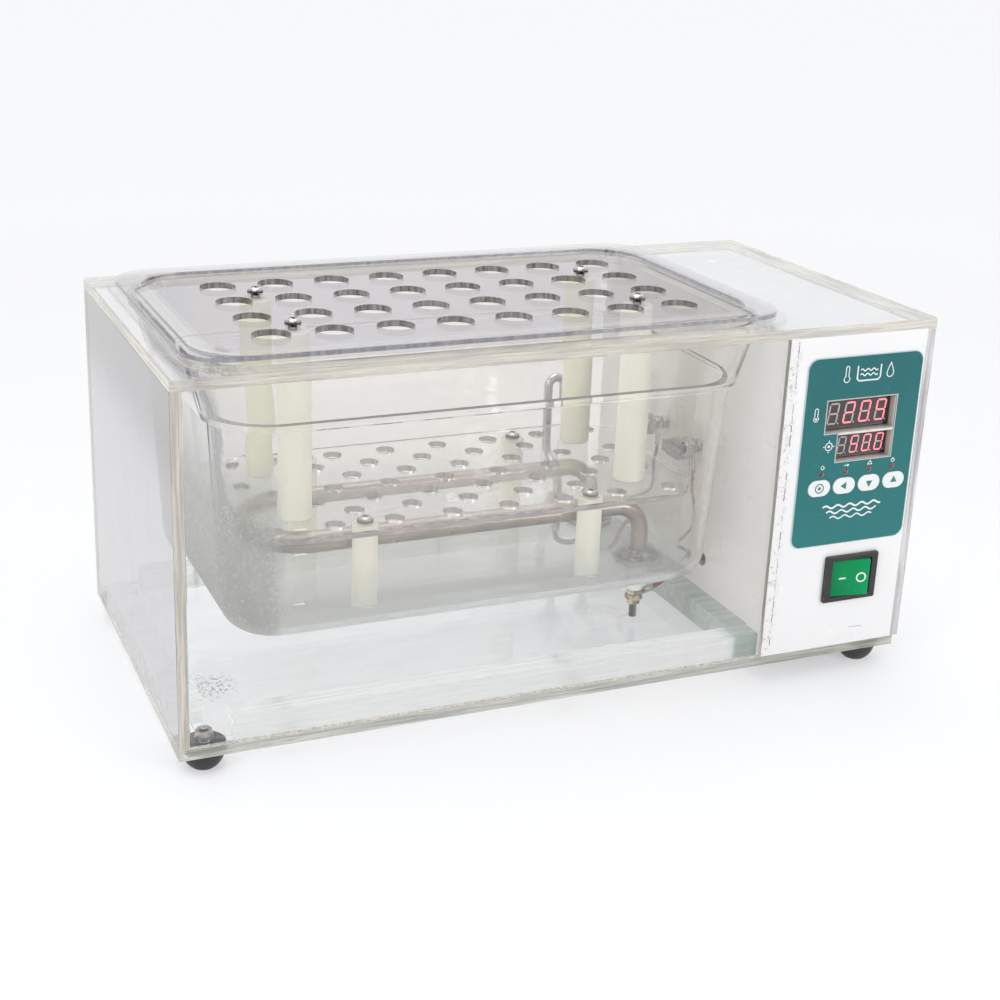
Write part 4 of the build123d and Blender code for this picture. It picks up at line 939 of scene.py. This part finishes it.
def heading_marks():
    """A trough with two water lines, a thermometer on its left and a drop on its right."""
    marks = Marks(LABEL_PRINT)
    marks.stroke([(342.2, 157.0), (342.2, 150.4), (343.4, 149.2), (354.6, 149.2),
                  (355.8, 150.4), (355.8, 157.0)], width=0.75)
    for z in (154.6, 152.2):
        marks.stroke(wave(343.9, 354.1, z, height=0.55, period=3.4), width=0.6)
    marks.stroke(thermometer(336.2, stem_foot=152.0, stem_top=157.2, corner=0.6, bulb_z=150.6,
                             bulb_radius=1.65, steps=18, opening=60), width=0.5, closed=True)
    drop = arc(361.6, 151.9, 1.95, steps=18, start=160, end=380)
    marks.stroke([(361.6, 157.2), (360.2, 154.2)] + drop + [(363.0, 154.2)], width=0.5,
                 closed=True)
    marks.finish("label_heading_marks", white_print, "key_white")


def legend_marks():
    marks = Marks(LABEL_PRINT)
    # thermometer beside the upper window
    marks.stroke(thermometer(320.5, stem_foot=132.6, stem_top=136.7, corner=0.5, bulb_z=131.4,
                             bulb_radius=1.35, steps=16, opening=50), width=0.45, closed=True)
    marks.prism(circle(320.5, 131.4, 0.6, steps=14))
    # target beside the lower window
    target = (329.8, 116.2)
    marks.stroke(circle(*target, 2.0), width=0.5, closed=True)
    marks.prism(circle(*target, 0.75, steps=16))
    for angle in (0, 90, 180, 270):
        marks.stroke([polar(*target, 2.5, angle), polar(*target, 3.3, angle)], width=0.5)
    # over the four lamps: loop, arrow, triangle, ring with a stem
    lamp_row = 105.3
    marks.stroke(arc(327.6, lamp_row, 0.95, steps=18, start=60, end=360), width=0.38)
    marks.prism([(328.1, 105.9), (329.2, 105.2), (328.0, 104.7)])
    marks.stroke([(340.2, lamp_row), (342.2, lamp_row)], width=0.4)
    marks.prism([(342.2, 104.5), (343.4, lamp_row), (342.2, 106.1)])
    marks.stroke([(354.4, 104.5), (355.7, 106.5), (357.0, 104.5)], width=0.38, closed=True)
    marks.stroke(circle(369.6, lamp_row, 0.95, steps=20), width=0.38, closed=True)
    marks.stroke([(369.6, lamp_row), (369.6, 106.7)], width=0.36)
    marks.finish("label_legend_marks", white_print, "key_white")


def label_ornament():
    """Three ripples low on the label, narrowing downward, and a line just inside its edge."""
    ripples = Marks(LABEL_PRINT)
    for i, z in enumerate((83.6, 80.6, 77.6)):
        line = wave(330.2 + i * 2.4, 365.0 - i * 2.4, z, height=0.75, period=7.2, steps=64)
        ripples.stroke(line, width=0.95 - 0.12 * i)
    ripples.finish("label_ripple_mark", white_print, "key_white")
    border = Marks(flat(-0.63, -0.56))
    border.stroke(rounded_box(left=313.55, right=380.65, bottom=63.15, top=162.05, radius=5.4),
                  width=0.28, closed=True)
    pale = solid("label_edge", (0.42, 0.56, 0.56), (0.34, 0.48, 0.48), rough=0.4, spread=0.05,
                 patch=300.0, grain=1800.0, bump=0.1)
    border.finish("label_edge_line", pale, "label_teal")


KEY_ROW_Z = 94.5
# key, x of its middle, direction of its arrow in degrees (None for a ring and dot)
KEYS = (("button_set", 326.6, None), ("button_left", 341.4, 180),
        ("button_down", 356.3, 270), ("button_up", 371.2, 90))


def key_marks():
    for name, x, direction in KEYS:
        marks = Marks(on_face(name, lift=0.07, sink=0.04, default=-1.1))
        if direction is None:
            marks.stroke(circle(x, KEY_ROW_Z, 2.3, steps=30), width=0.55, closed=True)
            marks.prism(circle(x, KEY_ROW_Z, 0.85, steps=18))
        else:
            marks.prism(circle(x, KEY_ROW_Z, 2.25, steps=3, start=direction, end=direction + 360))
        marks.finish(name + "_mark", teal_print, "label_teal", body=name + "_key")


def rocker_symbols():
    middle_z = 43.4
    marks = Marks(on_face("switch_rocker", lift=0.07, sink=0.05, default=2.0))
    marks.stroke([(x, middle_z) for x in (344.4, 345.6, 346.8, 348.2)], width=0.85)
    marks.stroke(circle(356.7, middle_z, 2.35, steps=32), width=0.75, closed=True)
    marks.finish("rocker_symbols", white_print, "key_white", body="rocker")


def seam_shade_and_grime(rng):
    """Broken dark line up the seam at the left of the white front: painted shade of the gap there,
    broken up like grime.
    """
    marks = Marks(flat(-0.05, 0.02))
    z = 6.0
    while z < 171.0:
        length = rng.uniform(1.0, 7.0)
        width = rng.uniform(0.12, 0.42)
        if rng.random() < 0.72:
            steps = max(3, int(length / 0.8))
            marks.stroke([(307.05 + rng.uniform(-0.10, 0.10), z + length * i / steps)
                          for i in range(steps + 1)], width)
        z += length + rng.uniform(0.2, 2.0)
    marks.finish("seam_shade_and_grime", grime_and_shade_finish, "black_plastic")


def edge_specks(rng, name, count, left, span, largest):
    """Dark specks scattered over an upright strip that starts at x = left."""
    marks = Marks(flat(-0.035, 0.02))
    for _ in range(count):
        x = left + rng.random() * span
        z = rng.uniform(8, 170)
        radius = rng.uniform(0.08, largest)
        start = rng.uniform(0, 50)
        marks.prism(circle(x, z, radius, steps=7, start=start, end=360 + rng.uniform(0, 50)))
    marks.finish(name, grime_and_shade_finish, "black_plastic")


def front_nick():
    """A small nick low on the white front."""
    marks = Marks(flat(-0.03, 0.02))
    marks.stroke([(354.8, 14.2), (357.6, 13.9), (360.0, 14.1), (363.7, 13.3)], width=0.16)
    marks.finish("front_panel_nick", grime_and_shade_finish, "black_plastic")


def tank_level_marks():
    """Level marks on the front wall of the tank."""
    marks = Marks(on_face("tank", lift=0.10, sink=0.05, default=22.0))
    for z in (97.4, 85.0, 59.7):
        marks.stroke([(60.0, z), (62.5, z), (65.2, z)], width=0.55)
    marks.finish("tank_level_marks", white_print, "tank_plastic")


readout("pv", " 209", lit_dot=2, x=329.9, z=126.0, pitch=9.35, width=6.0, height=11.2, bar=0.86)
readout("sv", " 500", lit_dot=2, x=337.6, z=110.0, pitch=7.45, width=4.75, height=9.2, bar=0.74)
window_surround()
heading_marks()
legend_marks()
label_ornament()
key_marks()
rocker_symbols()
dirt_rng = random.Random(11)
seam_shade_and_grime(dirt_rng)
edge_specks(dirt_rng, "divider_edge_specks", count=20, left=304.4, span=2.4, largest=0.26)
edge_specks(dirt_rng, "right_edge_specks", count=14, left=382.4, span=4.0, largest=0.28)
front_nick()
tank_level_marks()

# =============================================================================
# floor, light, camera; all in metres
# =============================================================================
scene = bpy.context.scene
FLOOR_HALF_WIDTH = 12.0
FLOOR_FRONT = -9.0
SWEEP_START = 6.0    # where the floor begins to curve up
SWEEP_RADIUS = 2.5
SWEEP_STEPS = 12
WALL_TOP = 8.0


def floor_material():
    """Pale floor that turns into an even glow away from the product."""
    mat = new_material("studio_floor")
    tone = mat.blend((0.90, 0.905, 0.91), (0.915, 0.918, 0.92), mat.noise(scale=3.0))
    normal = mat.bump(mat.noise(scale=220.0, detail=2), strength=0.03, distance=0.0002)
    matte = mat.principled(tone, 0.55, normal=normal, specular=0.25)
    glow = mat.node("ShaderNodeEmission", {"Color": (0.98, 0.985, 1.0), "Strength": 0.98})
    reach = mat.distance(mat.at("X"), mat.at("Y"))
    share = mat.rise(reach, start=0.25, end=1.3, low=0.45, high=0.93, smooth=True)
    return mat.done(mat.mix(share, matte, glow.outputs[0]))


def build_floor():
    profile = [(FLOOR_FRONT, 0.0), (0.0, 0.0), (SWEEP_START, 0.0)]
    for i in range(1, SWEEP_STEPS + 1):
        angle = math.radians(90.0 * i / SWEEP_STEPS)
        profile.append((SWEEP_START + SWEEP_RADIUS * math.sin(angle),
                        SWEEP_RADIUS - SWEEP_RADIUS * math.cos(angle)))
    profile.append((SWEEP_START + SWEEP_RADIUS, WALL_TOP))
    mesh = bmesh.new()
    rows = [[mesh.verts.new((side * FLOOR_HALF_WIDTH, y, z)) for side in (-1, 1)]
            for y, z in profile]
    for near, far in zip(rows[:-1], rows[1:]):
        mesh.faces.new([near[0], near[1], far[1], far[0]])
    bmesh.ops.recalc_face_normals(mesh, faces=mesh.faces)
    data = bpy.data.meshes.new("studio_floor")
    mesh.to_mesh(data)
    mesh.free()
    for face in data.polygons:
        face.use_smooth = True
    floor = bpy.data.objects.new("studio_floor", data)
    scene.collection.objects.link(floor)
    data.materials.append(floor_material())
    floor.rotation_euler = (0, 0, math.radians(-22.3))


def build_world():
    """Sky brighter toward the back right; the camera itself sees it at full strength or more."""
    scene.world = bpy.data.worlds.new("studio")
    sky = Shader(scene.world, "ShaderNodeOutputWorld")
    toward = sky.node("ShaderNodeVectorMath",
                      {0: sky.coords.outputs["Generated"], 1: (0.38, 0.925, 0.0)},
                      operation="DOT_PRODUCT").outputs["Value"]
    strength = sky.rise(toward, start=-0.5, end=0.45, low=0.34, high=1.0, smooth=True)
    camera_ray = sky.node("ShaderNodeLightPath").outputs["Is Camera Ray"]
    strength = sky.math("MAXIMUM", strength, camera_ray)
    color = (0.97, 0.975, 1.0)
    backdrop = sky.node("ShaderNodeBackground", {"Color": color, "Strength": strength})
    sky.done(backdrop.outputs[0])


def softbox(name, location, target, size, watts, color=(1, 1, 1)):
    light = bpy.data.lights.new(name, "AREA")
    light.shape = "RECTANGLE"
    light.size, light.size_y = size
    light.energy = watts
    light.color = color
    lamp = bpy.data.objects.new(name, light)
    scene.collection.objects.link(lamp)
    lamp.location = location
    aim = Vector(target) - Vector(location)
    lamp.rotation_euler = aim.to_track_quat("-Z", "Y").to_euler()


def build_camera():
    """Looks down at the box from its front left."""
    lens = bpy.data.cameras.new("camera")
    lens.sensor_width = 36.0
    lens.sensor_fit = "HORIZONTAL"
    lens.lens = 59.019912
    lens.shift_x = 0.0590
    lens.shift_y = -0.0486
    lens.clip_start = 0.01
    lens.clip_end = 100.0
    camera = bpy.data.objects.new("camera", lens)
    scene.collection.objects.link(camera)
    right = (0.9282746364553, -0.3708911118543, 0.0273126794943)
    up = (0.0967579840533, 0.3117744775862, 0.9452166776183)
    backward = (-0.3590878608859, -0.8747779479807, 0.3252990161237)
    pose = Matrix((right, up, backward)).transposed().to_4x4()
    pose.translation = place(-141.194309424, -641.699019820, 373.481719448)
    camera.matrix_world = pose
    scene.camera = camera


def render_settings():
    view = scene.view_settings
    view.view_transform = "Standard"
    view.look = "None"
    view.exposure = 0.0
    view.gamma = 1.0
    cycles = scene.cycles
    cycles.use_denoising = True
    cycles.max_bounces = 20
    cycles.diffuse_bounces = 3
    cycles.glossy_bounces = 8
    cycles.transmission_bounces = 18
    cycles.transparent_max_bounces = 48
    cycles.caustics_reflective = False
    cycles.caustics_refractive = False
    cycles.blur_glossy = 0.5
    cycles.sample_clamp_indirect = 6.0


build_floor()
build_world()
softbox("overhead", (-0.1, 0.1, 1.6), target=(0, 0, 0.1), size=(1.5, 1.1), watts=9.5)
softbox("left_box", (-1.5, -0.7, 0.75), target=(0, 0, 0.1), size=(0.9, 1.1), watts=11.0,
        color=(0.97, 0.98, 1.0))
softbox("right_box", (1.1, -1.4, 0.8), target=(0.1, 0, 0.1), size=(0.8, 0.9), watts=12.0,
        color=(1.0, 0.99, 0.97))
build_camera()
render_settings()

bpy.context.view_layer.update()
